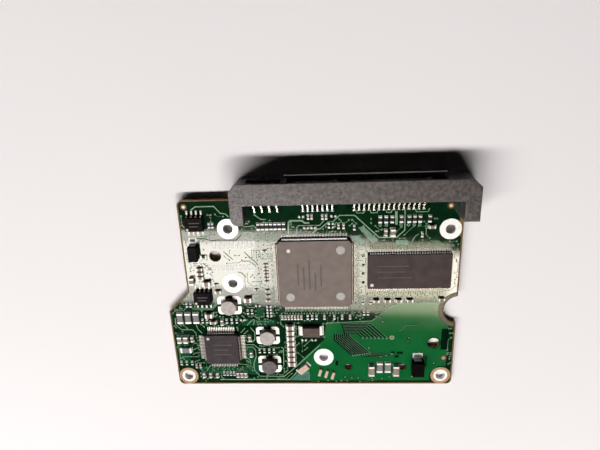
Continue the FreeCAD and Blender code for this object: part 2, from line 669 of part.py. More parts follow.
def housing_shell():
    """The connector housing's outside: a bar along the board's edge, two arms, a skirt and the plug's lip."""
    full_width = f"{HOUSING_RIGHT} - {HOUSING_LEFT}"
    edge_front = "(top_edge + housing_board_clearance)"
    edge_right = "(right_edge + housing_board_clearance)"
    arm_front = f"{HOUSING_BACK} - arm_length"
    bar = block("housing_bar", HOUSING_LEFT, HOUSING_BACK, BOARD_TOP, full_width,
                f"{HOUSING_FRONT} - {HOUSING_BACK}", "housing_rise")
    base = block("housing_base", HOUSING_LEFT, edge_front, "-housing_drop", full_width,
                 f"{HOUSING_FRONT} - {edge_front}", "board_thickness + housing_drop")
    left_arm = block("housing_left_arm", HOUSING_LEFT, arm_front, BOARD_TOP, "left_arm_width", "arm_length",
                     "housing_rise")
    right_arm = block("housing_right_arm", f"{HOUSING_RIGHT} - right_arm_width", arm_front, BOARD_TOP,
                      "right_arm_width", "arm_length", "housing_rise")
    skirt = block("housing_skirt", edge_right, arm_front, "0", f"{HOUSING_RIGHT} - {edge_right}",
                  f"{edge_front} - ({arm_front})", "board_thickness")
    outside = fused("housing_outside", [bar, base, left_arm, right_arm, skirt])
    doc.recompute()
    box = outside.Shape.BoundBox

    def front_corner(x, y):
        return near(y, box.YMax) and (near(x, box.XMin) or near(x, box.XMax))

    def left_arm_corner(x, y):
        return near(y, box.YMin) and near(x, box.XMin)

    cornered = dressed("Chamfer", "housing_chamfered", outside, size("housing_chamfer"), front_corner)
    shell = dressed("Fillet", "housing_rounded", cornered, size("left_arm_radius"), left_arm_corner)
    lip = block("housing_lip", f"{BAY_LEFT} - lip_side", HOUSING_FRONT, "-housing_drop",
                f"{BAY_RIGHT} - {BAY_LEFT} + 2 * lip_side", "lip_length", "bay_floor")
    return fused("housing_shell", [shell, lip])


def connector_housing():
    """The moulded housing: plug bay with two keyed tongues, jumper bay, and slots for the contacts."""
    depth = f"{HOUSING_FRONT} - {BAY_BACK} + lip_length"
    plug_bay = block("plug_bay", BAY_LEFT, BAY_BACK, BAY_BOTTOM, f"{BAY_RIGHT} - {BAY_LEFT}", depth,
                     f"{BAY_TOP} - {BAY_BOTTOM}")
    jumper_bottom = "(board_thickness + jumper_bay_floor)"
    jumper_bay = block("jumper_bay", f"{JUMPER_PIN_X} - jumper_bay_margin", BAY_BACK, jumper_bottom,
                       f"{LAST_JUMPER_X} - {JUMPER_PIN_X} + 2 * jumper_bay_margin", depth,
                       f"{BAY_TOP} - {jumper_bottom}")
    hollow = cut("housing_hollow", housing_shell(), fused("housing_bays", [plug_bay, jumper_bay]))
    reach = f"{HOUSING_FRONT} - {BAY_BACK} - tongue_setback"
    pieces = [hollow]
    tongues = (("signal", SIGNAL_PIN_X, LAST_SIGNAL_X), ("power", "power_pin_x", LAST_POWER_X))
    for name, first, last in tongues:
        end = f"({last} + tongue_margin)"
        pieces.append(block(f"{name}_tongue", f"{first} - tongue_margin", BAY_BACK, TONGUE_BOTTOM,
                            f"{end} - {first} + tongue_margin", reach, "tongue_thickness"))
        pieces.append(block(f"{name}_key", f"{end} - key_width", BAY_BACK, f"{TONGUE_BOTTOM} - key_drop",
                            "key_width", reach, "key_drop"))
    filled = fused("housing_filled", pieces)
    slots = [contact_slot("signal", i, SIGNAL_PIN_X) for i in range(SIGNAL_COUNT)]
    slots += [contact_slot("power", i, "power_pin_x") for i in range(POWER_COUNT)]
    for i in range(JUMPER_COUNT):
        left = f"{JUMPER_PIN_X} + {i} * jumper_pitch - jumper_pin_side / 2"
        slots.append(block(f"jumper_slot_{i}", left, HOUSING_BACK, TONGUE_BOTTOM, "jumper_pin_side",
                           "bay_back_wall", "jumper_pin_side"))
    return cut("connector_housing", filled, group("housing_slots", slots))


def contact_slot(name, index, first):
    """The slot in the back wall that one contact passes through."""
    left = f"{first} + {index} * contact_pitch - contact_width / 2"
    bottom = f"{TONGUE_BOTTOM} - contact_thickness"
    return block(f"{name}_slot_{index}", left, HOUSING_BACK, bottom, "contact_width", "bay_back_wall",
                 "contact_thickness")


def feature(label, solids):
    """Solids that are worked out in code, kept in one node."""
    part = doc.addObject("Part::Feature", label)
    part.Shape = Part.makeCompound(solids)
    return part


def bent_strip(points, width):
    """A strip of metal: its profile in the YZ plane, given as points, and its width along X, centred."""
    corners = [FreeCAD.Vector(-width / 2, y, z) for y, z in points]
    face = Part.Face(Part.makePolygon(corners + corners[:1]))
    return face.extrude(FreeCAD.Vector(width, 0, 0))


def tail_points(back, top, thickness):
    """Profile of a contact's tail: level out of the housing, down to the board and along it."""
    knee = back - size("tail_reach")
    toe = knee - size("tail_slope")
    board = size("board_thickness")
    end = toe - size("tail_foot")
    return (
        (back, top), (knee, top), (toe, board + thickness), (end, board + thickness),
        (end, board), (toe + thickness, board), (knee + thickness, top - thickness), (back, top - thickness),
    )


def connector_contacts(slot_name, count, label):
    """Flat contacts: a finger under the tongue, through the back wall, and a tail bent down to the board."""
    doc.recompute()
    contacts = []
    for i in range(count):
        slot = doc.getObject(f"{slot_name}_slot_{i}")
        tongue = doc.getObject(f"{slot_name}_tongue")
        corner = slot.Placement.Base
        tip = tongue.Placement.Base.y + tongue.Width.Value - size("contact_setback")
        finger = Part.makeBox(slot.Length.Value, tip - corner.y, slot.Height.Value, corner)
        thickness = slot.Height.Value
        tail = bent_strip(tail_points(corner.y, corner.z + thickness, thickness), size("tail_width"))
        tail.translate(FreeCAD.Vector(corner.x + slot.Length.Value / 2, 0, 0))
        contacts.append(finger.fuse(tail).removeSplitter())
    return feature(label, contacts)


def jumper_pins():
    """Square pins: straight in the jumper bay, bent down to the board behind it."""
    doc.recompute()
    pins = []
    front = doc.getObject("housing_bar")
    tip = front.Placement.Base.y + front.Width.Value - size("jumper_pin_setback")
    for i in range(JUMPER_COUNT):
        slot = doc.getObject(f"jumper_slot_{i}")
        corner = slot.Placement.Base
        side = slot.Height.Value
        straight = Part.makeBox(side, tip - corner.y, side, corner)
        tail = bent_strip(tail_points(corner.y, corner.z + side, side), side)
        tail.translate(FreeCAD.Vector(corner.x + side / 2, 0, 0))
        pins.append(straight.fuse(tail).removeSplitter())
    return feature("jumper_pins", pins)


def moulded_body(label, x, y, length, width, height, corner, draft):
    """A moulded package: its sides lean in above and below the parting line, and its corners are cut."""
    body = new_body(label, f"{x} - ({length}) / 2", f"{y} - ({width}) / 2",
                    f"{BOARD_TOP} + chip_standoff + ({height}) / 2")
    parting = sketch_on(body, f"{label}_parting")
    draw_polygon(parting, (
        (corner, "0"), (f"{length} - {corner}", "0"),
        (length, corner), (length, f"{width} - {corner}"),
        (f"{length} - {corner}", width), (corner, width),
        ("0", f"{width} - {corner}"), ("0", corner),
    ))
    for half, downward in (("upper", False), ("lower", True)):
        pad = body.newObject("PartDesign::Pad", f"{label}_{half}")
        pad.Profile = parting
        pad.Reversed = downward
        bind(pad, {"Length": f"({height}) / 2", "TaperAngle": f"-{draft}"})
    return body


def lead_points(family, height):
    """Profile of a bent lead, outward along -Y from the package's side at zero."""
    thickness = size("lead_thickness")
    board = size("board_thickness")
    shoulder_top = board + size("chip_standoff") + height / 2 + thickness / 2
    shoulder = -size(f"{family}_shoulder")
    tip = -size(f"{family}_reach")
    heel = tip + size(f"{family}_foot")
    return (
        (0, shoulder_top), (shoulder, shoulder_top), (heel, board + thickness), (tip, board + thickness),
        (tip, board), (heel + thickness, board), (shoulder + thickness, shoulder_top - thickness),
        (0, shoulder_top - thickness),
    )


def lead_row(lead, count, pitch, side_distance, angle, centre):
    """A row of leads along one side of a package, the side being turned about the package's centre."""
    row = []
    for i in range(count):
        piece = lead.copy()
        piece.translate(FreeCAD.Vector((i - (count - 1) / 2) * pitch, -side_distance, 0))
        piece.rotate(FreeCAD.Vector(0, 0, 0), FreeCAD.Vector(0, 0, 1), angle)
        piece.translate(centre)
        row.append(piece)
    return row


def square_pack_leads(label, name, count, centre):
    """Leads on all four sides of a square package."""
    lead = bent_strip(lead_points("flat_pack", size("flat_pack_height")), size(f"{name}_lead_width"))
    pitch = size(f"{name}_lead_pitch")
    half = size(f"{name}_side") / 2
    leads = []
    for angle in (0, 90, 180, 270):
        leads += lead_row(lead, count, pitch, half, angle, centre)
    return feature(label, leads)


def two_side_leads(label, family, count, half_width, height, centre):
    """Leads on the two long sides of a package."""
    lead = bent_strip(lead_points(family, height), size(f"{family}_lead_width"))
    pitch = size(f"{family}_lead_pitch")
    leads = []
    for angle in (0, 180):
        leads += lead_row(lead, count, pitch, half_width, angle, centre)
    return feature(label, leads)


def middle_of(body, length, width):
    """Centre of a package on the board, from the place of its body's corner."""
    corner = body.Placement.Base
    return FreeCAD.Vector(corner.x + length / 2, corner.y + width / 2, 0)


def square_chip(name, label, count, corner):
    """A square chip: its moulded body and its four rows of leads."""
    side = f"{name}_side"
    body = moulded_body(f"{label}_body", f"{name}_x", f"{name}_y", side, side, "flat_pack_height", corner,
                        "flat_pack_draft")
    doc.recompute()
    leads = square_pack_leads(f"{label}_leads", name, count, middle_of(body, size(side), size(side)))
    return [body, leads]


def two_side_chip(label, family, x, y, count):
    """A chip with leads on two sides: its moulded body and its leads."""
    length, width, height = (f"{family}_{kind}" for kind in ("length", "width", "height"))
    body = moulded_body(f"{label}_body", x, y, length, width, height, f"{family}_corner", f"{family}_draft")
    doc.recompute()
    centre = middle_of(body, size(length), size(width))
    leads = two_side_leads(f"{label}_leads", family, count, size(width) / 2, size(height), centre)
    return [body, leads]


def diode(name):
    """A diode: a moulded block that lies along Y, and a bent tab at each end."""
    length, width, height = (f"{name}_{kind}" for kind in ("length", "width", "height"))
    body = moulded_body(f"{name}_body", f"{name}_x", f"{name}_y", width, length, height, "diode_corner",
                        "diode_draft")
    tabs = []
    for end, sign in (("upper", "+"), ("lower", "-")):
        middle = f"({name}_y {sign} ({length} + diode_tab_thickness) / 2)"
        toe = f"({name}_y {sign} (({length} + diode_tab_foot) / 2 + diode_tab_thickness))"
        riser = centred_block(f"{name}_{end}_riser", f"{name}_x", middle, BOARD_TOP, f"{name}_tab_width",
                              "diode_tab_thickness", f"chip_standoff + {height} / 2")
        foot = centred_block(f"{name}_{end}_foot", f"{name}_x", toe, BOARD_TOP, f"{name}_tab_width",
                             "diode_tab_foot", "diode_tab_thickness")
        tabs.append(fused(f"{name}_{end}_tab", [riser, foot]))
    return [body, group(f"{name}_terminals", tabs)]


def inductor(name):
    """A drum inductor on its lands: a ferrite core with two flanges, and the winding between them."""
    x, y = f"{name}_x", f"{name}_y"
    gap = "core_height - 2 * core_flange"
    lower = rod(f"{name}_lower_flange", x, y, LAND_TOP, "core_diameter", "core_flange")
    post = rod(f"{name}_post", x, y, LAND_TOP, "core_post_diameter", "core_height")
    upper = rod(f"{name}_upper_flange", x, y, f"{LAND_TOP} + core_height - core_flange", "core_diameter",
                "core_flange")
    winding = ring(f"{name}_winding", x, y, f"{LAND_TOP} + core_flange", "winding_diameter",
                   "core_post_diameter", gap)
    return [fused(f"{name}_core", [lower, post, upper]), winding]


def land_block(label, x, y, length, width):
    """A flat block as thick as the bare metal on the board."""
    return centred_block(label, x, y, BOARD_TOP, length, width, "land_thickness")


def inductor_lands(names):
    """Four angled lands round each inductor, with rounded outer corners."""
    lands = []
    for name in names:
        x, y = f"{name}_x", f"{name}_y"
        length, width = "inductor_land_length", "inductor_land_width"
        plate = land_block(f"{name}_plate", x, y, length, width)
        plate = dressed("Fillet", f"{name}_plate_rounded", plate, size("inductor_land_corner"),
                        lambda x, y: True)
        window = land_block(f"{name}_window", x, y, f"{length} - 2 * inductor_land_band",
                            f"{width} - 2 * inductor_land_band")
        side_gap = land_block(f"{name}_side_gap", x, y, length, "inductor_land_side_gap")
        end_gap = land_block(f"{name}_end_gap", x, y, "inductor_land_end_gap", width)
        lands.append(cut(f"{name}_lands", plate, fused(f"{name}_gaps", [window, side_gap, end_gap])))
    return group("inductor_lands", lands)


def filter_capacitor():
    """The large brown chip and the low metal strip at each of its ends."""
    x, y = "filter_capacitor_x", "filter_capacitor_y"
    body = centred_block("filter_capacitor_body", x, y, BOARD_TOP, "filter_capacitor_length",
                         "filter_capacitor_width", "filter_capacitor_height")
    offset = "(filter_capacitor_length + filter_end_length) / 2"
    ends = []
    for side, sign in (("left", "-"), ("right", "+")):
        ends.append(centred_block(f"filter_{side}_end", f"{x} {sign} {offset}", y, BOARD_TOP,
                                  "filter_end_length", "filter_capacitor_width", "filter_end_height"))
    return [body, group("filter_capacitor_ends", ends)]


def shock_sensor():
    """The tilted sensor and the metal strip at each of its ends."""
    body = turned_block("shock_sensor_body", "sensor_x", "sensor_y", BOARD_TOP, "sensor_length",
                        "sensor_width", "sensor_height", "sensor_angle")
    offset = "(sensor_length + sensor_end_length) / 2"
    ends = []
    for side, sign in (("left", "-"), ("right", "+")):
        x = f"sensor_x {sign} {offset} * cos(sensor_angle)"
        y = f"sensor_y {sign} {offset} * sin(sensor_angle)"
        ends.append(turned_block(f"sensor_{side}_end", x, y, BOARD_TOP, "sensor_end_length", "sensor_width",
                                 "sensor_end_height", "sensor_angle"))
    return [body, group("shock_sensor_ends", ends)]


def motor_contacts():
    """The motor's contact blocks, side by side along a slanted line."""
    blocks = []
    for i in range(MOTOR_CONTACT_COUNT):
        x = f"motor_contact_x + {i} * motor_contact_pitch * cos(motor_contact_angle)"
        y = f"motor_contact_y - {i} * motor_contact_pitch * sin(motor_contact_angle)"
        blocks.append(turned_block(f"motor_contact_{i}", x, y, BOARD_TOP, "motor_contact_width",
                                   "motor_contact_length", "motor_contact_height", "-motor_contact_angle"))
    return group("motor_contacts", blocks)


def chip(name, x, y, row):
    """One chip resistor or capacitor: a body and a metal cap at each end."""
    kind = row["size"]
    height = f"{kind}_{row['family']}_height"
    middle = f"{kind}_length - 2 * {kind}_end"
    offset = f"({kind}_length - {kind}_end) / 2"
    lies_along_x = row["along"] == "x"

    def piece(label, shift, length):
        if lies_along_x:
            return centred_block(label, f"{x} {shift}", y, BOARD_TOP, length, f"{kind}_width", height)
        return centred_block(label, x, f"{y} {shift}", BOARD_TOP, f"{kind}_width", length, height)

    body = piece(f"{name}_body", "", middle)
    near_end = piece(f"{name}_near_end", f"- {offset}", f"{kind}_end")
    far_end = piece(f"{name}_far_end", f"+ {offset}", f"{kind}_end")
    return body, [near_end, far_end]


def chip_groups():
    """All chip resistors and capacitors: one node for the bodies of each group, one for its end caps."""
    bodies = {}
    caps = {}
    for row in CHIP_ROWS:
        anchor_x, anchor_y = ROW_ANCHORS[row["from"]]
        for i in range(row["count"]):
            step = f" + {i} * {row['name']}_pitch"
            x = f"{anchor_x} + {row['name']}_x" + (step if row["step"] == "x" else "")
            y = f"{anchor_y} + {row['name']}_y" + (step if row["step"] == "y" else "")
            body, ends = chip(f"{row['name']}_{i}", x, y, row)
            bodies.setdefault(row["group"], []).append(body)
            caps.setdefault(row["group"], []).extend(ends)
    nodes = [group(f"{name}_bodies", pieces) for name, pieces in bodies.items()]
    nodes += [group(f"{name}_ends", pieces) for name, pieces in caps.items()]
    return nodes


def write_parts(nodes):
    """Checks every object of the document, then writes each node to a file of its own."""
    doc.recompute()
    failed = [part.Name for part in doc.Objects if "Invalid" in part.State or "Error" in part.State]
    if failed:
        raise RuntimeError(f"failed objects: {failed}")
    for node in nodes:
        if node.Shape.isNull() or not node.Shape.isValid():
            raise RuntimeError(f"bad shape: {node.Label}")
    os.makedirs("parts", exist_ok=True)
    for node in nodes:
        node.Shape.exportStep(f"parts/{node.Label}.step")
        print(node.Label, len(node.Shape.Solids), round(node.Shape.Volume, 3))


fill_sheet()
nodes = [circuit_board()]
nodes += board_metal()
nodes.append(connector_housing())
nodes.append(connector_contacts("signal", SIGNAL_COUNT, "signal_contacts"))
nodes.append(connector_contacts("power", POWER_COUNT, "power_contacts"))
nodes.append(jumper_pins())
nodes += square_chip("controller", "controller", CONTROLLER_SIDE_LEADS, "flat_pack_corner")
nodes += two_side_chip("memory", "memory", MEMORY_X, MEMORY_Y, MEMORY_SIDE_LEADS)
nodes += square_chip("driver", "motor_driver", DRIVER_SIDE_LEADS, "driver_corner")
nodes += two_side_chip("flash", "small_pack", "flash_x", "flash_y", SMALL_PACK_SIDE_LEADS)
nodes += two_side_chip("power_switch", "small_pack", "power_switch_x", "power_switch_y",
                       SMALL_PACK_SIDE_LEADS)
nodes += diode("rectifier")
nodes += diode("clamp_diode")
inductors = ("upper_inductor", "middle_inductor", "lower_inductor")
for inductor_name in inductors:
    nodes += inductor(inductor_name)
nodes.append(inductor_lands(inductors))
nodes += filter_capacitor()
nodes += shock_sensor()
nodes.append(motor_contacts())
nodes += chip_groups()
write_parts(nodes)
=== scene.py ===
"""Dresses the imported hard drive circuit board: finishes, copper, solder and marks, in a plain studio.

Lengths in the classes are millimetres in the board's own frame. Each mesh is scaled to metres as it is made.
"""
import json
import logging
import math
import random
from dataclasses import dataclass, field
from enum import Enum
from functools import cache
from typing import Any

import bmesh
import bpy
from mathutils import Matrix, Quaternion, Vector
from mathutils.geometry import tessellate_polygon


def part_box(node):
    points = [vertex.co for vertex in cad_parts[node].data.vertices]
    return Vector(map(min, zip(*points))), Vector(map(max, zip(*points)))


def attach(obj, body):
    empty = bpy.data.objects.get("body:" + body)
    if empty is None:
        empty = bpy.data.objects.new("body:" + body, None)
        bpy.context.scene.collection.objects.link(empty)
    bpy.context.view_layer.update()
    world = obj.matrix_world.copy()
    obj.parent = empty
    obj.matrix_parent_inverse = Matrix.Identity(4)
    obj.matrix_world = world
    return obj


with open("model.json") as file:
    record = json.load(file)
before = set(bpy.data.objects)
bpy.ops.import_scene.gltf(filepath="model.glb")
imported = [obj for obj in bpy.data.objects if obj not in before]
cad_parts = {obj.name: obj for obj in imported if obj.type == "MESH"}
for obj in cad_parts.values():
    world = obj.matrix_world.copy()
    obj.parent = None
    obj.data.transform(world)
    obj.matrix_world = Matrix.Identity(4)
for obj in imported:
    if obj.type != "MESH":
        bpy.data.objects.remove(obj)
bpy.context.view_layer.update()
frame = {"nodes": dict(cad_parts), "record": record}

MM = 0.001
BOARD_TOP = 1.0
LOG = logging.getLogger("circuit_board")

Colour = tuple[float, float, float]
Point = tuple[float, float]
Spot = tuple[float, float, float]

WHOLE: Point = (0.0, 1.0)
ARC_STEP = 6
STRIP_SHOULDER = 0.05
NOISE_RANGE: Point = (0.3, 0.7)
MOTTLE_RANGE: Point = (0.35, 0.65)
ROUGH_PATCH = 0.6
SCREW_HOLES: tuple[Point, ...] = ((0.0, 0.0), (74.4, 0.0), (16.0, 46.8), (16.0, 30.7), (40.6, 6.4),
                                  (74.4, 45.6))
GUIDE_HOLES: tuple[Point, ...] = ((11.85, 39.0), (71.9, 11.1))
PEG_HOLES: tuple[Point, ...] = ((47.75, 3.0), (63.45, 3.0))
EDGE_NOTCH: Point = (78.25, 21.7)
CHIPS: tuple[str, ...] = ("controller", "memory", "motor_driver", "flash", "power_switch")


class ShaderTree:
    """A material's nodes, with the few that all finishes share. Lengths are in millimetres."""

    bevel_samples: int = 6
    edge_range: Point = (0.80, 0.99)

    def __init__(self, name: str) -> None:
        """Starts a material with one principled shader.

        Args:
            name: The material's name.
        """
        self.material = bpy.data.materials.new(name)
        self.material.use_nodes = True
        self.nodes = self.material.node_tree.nodes
        self.links = self.material.node_tree.links
        self.nodes.clear()
        self.output = self.nodes.new("ShaderNodeOutputMaterial").inputs["Surface"]
        self.shader = self.nodes.new("ShaderNodeBsdfPrincipled")
        self.feed(self.output, self.shader.outputs["BSDF"])
        self.place = self.nodes.new("ShaderNodeTexCoord").outputs["Object"]
        self.facing = self.nodes.new("ShaderNodeNewGeometry").outputs["Normal"]

    def feed(self, socket: Any, value: Any) -> None:
        """Links a socket, or sets a plain value or colour on it.

        Args:
            socket: The input to feed.
            value: An output socket, a number, a vector or a colour.
        """
        if isinstance(value, bpy.types.NodeSocket):
            self.links.new(value, socket)
        elif isinstance(value, tuple):
            socket.default_value = (*value, 1.0)
        else:
            socket.default_value = value

    def node(self, kind: str, output: str | int, feeds: dict[str | int, Any], **settings: Any) -> Any:
        """Adds one node, sets it up and feeds its inputs.

        Args:
            kind: The node's kind.
            output: The output to give, by name or number.
            feeds: The inputs to feed, by name or number.
            **settings: The node's own settings.

        Returns:
            The output's socket.
        """
        node = self.nodes.new(f"ShaderNode{kind}")
        for name, value in settings.items():
            setattr(node, name, value)
        for name, value in feeds.items():
            self.feed(node.inputs[name], value)
        return node.outputs[output]

    def noise(self, size: float, detail: float) -> Any:
        """Gives a noise in object coordinates, by its patches' size and its number of finer layers."""
        feeds = {"Scale": 1.0 / (size * MM), "Detail": detail, "Vector": self.place}
        return self.node("TexNoise", "Fac", feeds)

    def spread(self, value: Any, start: Point, goal: Point = WHOLE) -> Any:
        """Maps a value from the range that it has to another one, and clamps it."""
        ends = zip(("From Min", "From Max", "To Min", "To Max"), (*start, *goal))
        return self.node("MapRange", "Result", {"Value": value, **dict(ends)})

    def mix(self, factor: Any, first: Any, second: Any) -> Any:
        """Mixes two colours, by the second one's share."""
        return self.node("Mix", 2, {0: factor, 6: first, 7: second}, data_type="RGBA")

    def blend(self, factor: Any, first: Any, second: Any) -> Any:
        """Blends two shaders, by the second one's share."""
        return self.node("MixShader", "Shader", {0: factor, 1: first, 2: second})

    def along(self, vector: Any, axis: str) -> Any:
        """Gives one part of a vector, by the axis's letter."""
        return self.node("SeparateXYZ", axis, {"Vector": vector})

    def rounded(self, width: float) -> Any:
        """Gives a surface normal that is rounded over the edges by a width."""
        return self.node("Bevel", "Normal", {"Radius": width * MM}, samples=self.bevel_samples)

    def edges(self, normal: Any) -> Any:
        """Gives 1 at the edges, where a rounded normal leaves the true one, and 0 on faces."""
        match = self.node("VectorMath", "Value", {0: normal, 1: self.facing}, operation="DOT_PRODUCT")
        return self.spread(match, self.edge_range, (1.0, 0.0))


@dataclass(frozen=True)
class Finish:
    """A surface with a mottled colour, uneven roughness, fine grain and tinted edges: wear on most finishes,
    painted shade on the contacts and the grey resistors.
    """

    name: str
    colour: Colour
    mottle: Colour
    roughness: Point = (0.45, 0.6)
    slot: str = "solder_mask"
    metallic: float = 0.0
    specular: float = 0.5
    mottle_size: float = 1.5
    grain_size: float = 0.12
    grain_depth: float = 0.006
    grain_strength: float = 0.5
    edge_width: float = 0.08
    edge_wear_and_shade: Colour | None = None
    edge_wear_and_shade_share: float = 0.5

    @cache
    def material(self) -> bpy.types.Material:
        """Makes the material once.

        Returns:
            The finish's material.
        """
        tree = ShaderTree(self.name)
        normal = tree.rounded(self.edge_width)
        colour = self.painted(tree)
        # Edge tint: wear where it is pale, painted shade where it is dark.
        if self.edge_wear_and_shade:
            edge = tree.spread(tree.edges(normal), WHOLE, (0.0, self.edge_wear_and_shade_share))
            colour = tree.mix(edge, colour, self.edge_wear_and_shade)
        patches = tree.noise(self.mottle_size * ROUGH_PATCH, 2.0)
        relief = {"Height": self.relief(tree), "Distance": self.grain_depth * MM,
                  "Strength": self.grain_strength, "Normal": normal}
        feeds = {"Base Color": colour, "Metallic": self.metallic, "Specular IOR Level": self.specular,
                 "Roughness": tree.spread(patches, NOISE_RANGE, self.roughness),
                 "Normal": tree.node("Bump", "Normal", relief)}
        for name, value in feeds.items():
            tree.feed(tree.shader.inputs[name], value)
        return tree.material

    def painted(self, tree: ShaderTree) -> Any:
        """Gives the colour's socket, mottled by a noise."""
        patches = tree.spread(tree.noise(self.mottle_size, 4.0), MOTTLE_RANGE)
        return tree.mix(patches, self.colour, self.mottle)

    def relief(self, tree: ShaderTree) -> Any:
        """Gives the fine grain's height."""
        return tree.noise(self.grain_size, 2.0)


@dataclass(frozen=True)
class LacquerFinish(Finish):
    """Lacquer over woven laminate, with bare laminate on the cut edges."""

    grain_depth: float = 0.003
    grain_strength: float = 0.12
    laminate: Colour = (0.30, 0.19, 0.075)
    laminate_dark: Colour = (0.14, 0.085, 0.035)
    laminate_layer: float = 0.25
    weave: float = 0.5
    weave_scale: float = 0.31
    weave_bend: float = 1.5
    upright_range: Point = (0.4, 0.7)

    def painted(self, tree: ShaderTree) -> Any:
        """Gives the lacquer's colour on the faces and the laminate's on the edges.

        Args:
            tree: The material's nodes.

        Returns:
            The colour's socket.
        """
        lacquer = Finish.painted(self, tree)
        layers = tree.spread(tree.noise(self.laminate_layer, 2.0), NOISE_RANGE)
        cut = tree.mix(layers, self.laminate, self.laminate_dark)
        upright = tree.node("Math", "Value", {0: tree.along(tree.facing, "Z")}, operation="ABSOLUTE")
        return tree.mix(tree.spread(upright, self.upright_range), cut, lacquer)

    def relief(self, tree: ShaderTree) -> Any:
        """Gives the height of the glass weave that shows through the lacquer."""
        feeds = {"Scale": self.weave_scale / (self.weave * MM), "Distortion": self.weave_bend,
                 "Vector": tree.place}
        return tree.mix(0.5, *(tree.node("TexWave", "Fac", feeds, bands_direction=way) for way in ("X", "Y")))


@dataclass(frozen=True)
class MetalFinish(Finish):
    """Tinned or bare metal with close edges."""

    slot: str = "tinned_metal"
    mottle_size: float = 0.4
    edge_width: float = 0.03


@dataclass(frozen=True)
class ContactFinish(MetalFinish):
    """Contacts that are tinned where they are soldered and gilt where they touch."""

    gilt: Colour = (0.78, 0.52, 0.19)
    gilt_span: Point = (55.9, 56.1)

    def painted(self, tree: ShaderTree) -> Any:
        """Gives the tin's colour near the board and the gilt's in the plug bay."""
        span = tuple(end * MM for end in self.gilt_span)
        return tree.mix(tree.spread(tree.along(tree.place, "Y"), span), Finish.painted(self, tree), self.gilt)


@dataclass(frozen=True)
class ResinFinish(Finish):
    """Moulded resin with a fine grain."""

    roughness: Point = (0.50, 0.65)
    slot: str = "dark_package"
    specular: float = 0.15
    mottle_size: float = 2.5
    grain_size: float = 0.15
    grain_depth: float = 0.008
    edge_width: float = 0.10


@dataclass(frozen=True)
class FerriteFinish(Finish):
    """Ground ferrite with pale edges."""

    roughness: Point = (0.45, 0.65)
    slot: str = "ferrite"
    specular: float = 0.15
    mottle_size: float = 0.8
    grain_size: float = 0.2
    grain_depth: float = 0.012
    edge_width: float = 0.15


@dataclass(frozen=True)
class CeramicFinish(Finish):
    """Fired ceramic with pale edges."""

    slot: str = "tan_ceramic"
    specular: float = 0.2
    mottle_size: float = 0.8
    edge_width: float = 0.1


@dataclass(frozen=True)
class GlazeFinish(Finish):
    """The glaze on a chip resistor."""

    slot: str = "resistor_glaze"
    specular: float = 0.12
    mottle_size: float = 0.6
    edge_width: float = 0.06


@dataclass(frozen=True)
class MarkFinish(Finish):
    """Print and smooth marks on a chip's top."""

    roughness: Point = (0.55, 0.7)
    slot: str = "pale_package"
    specular: float = 0.15
    mottle_size: float = 0.25


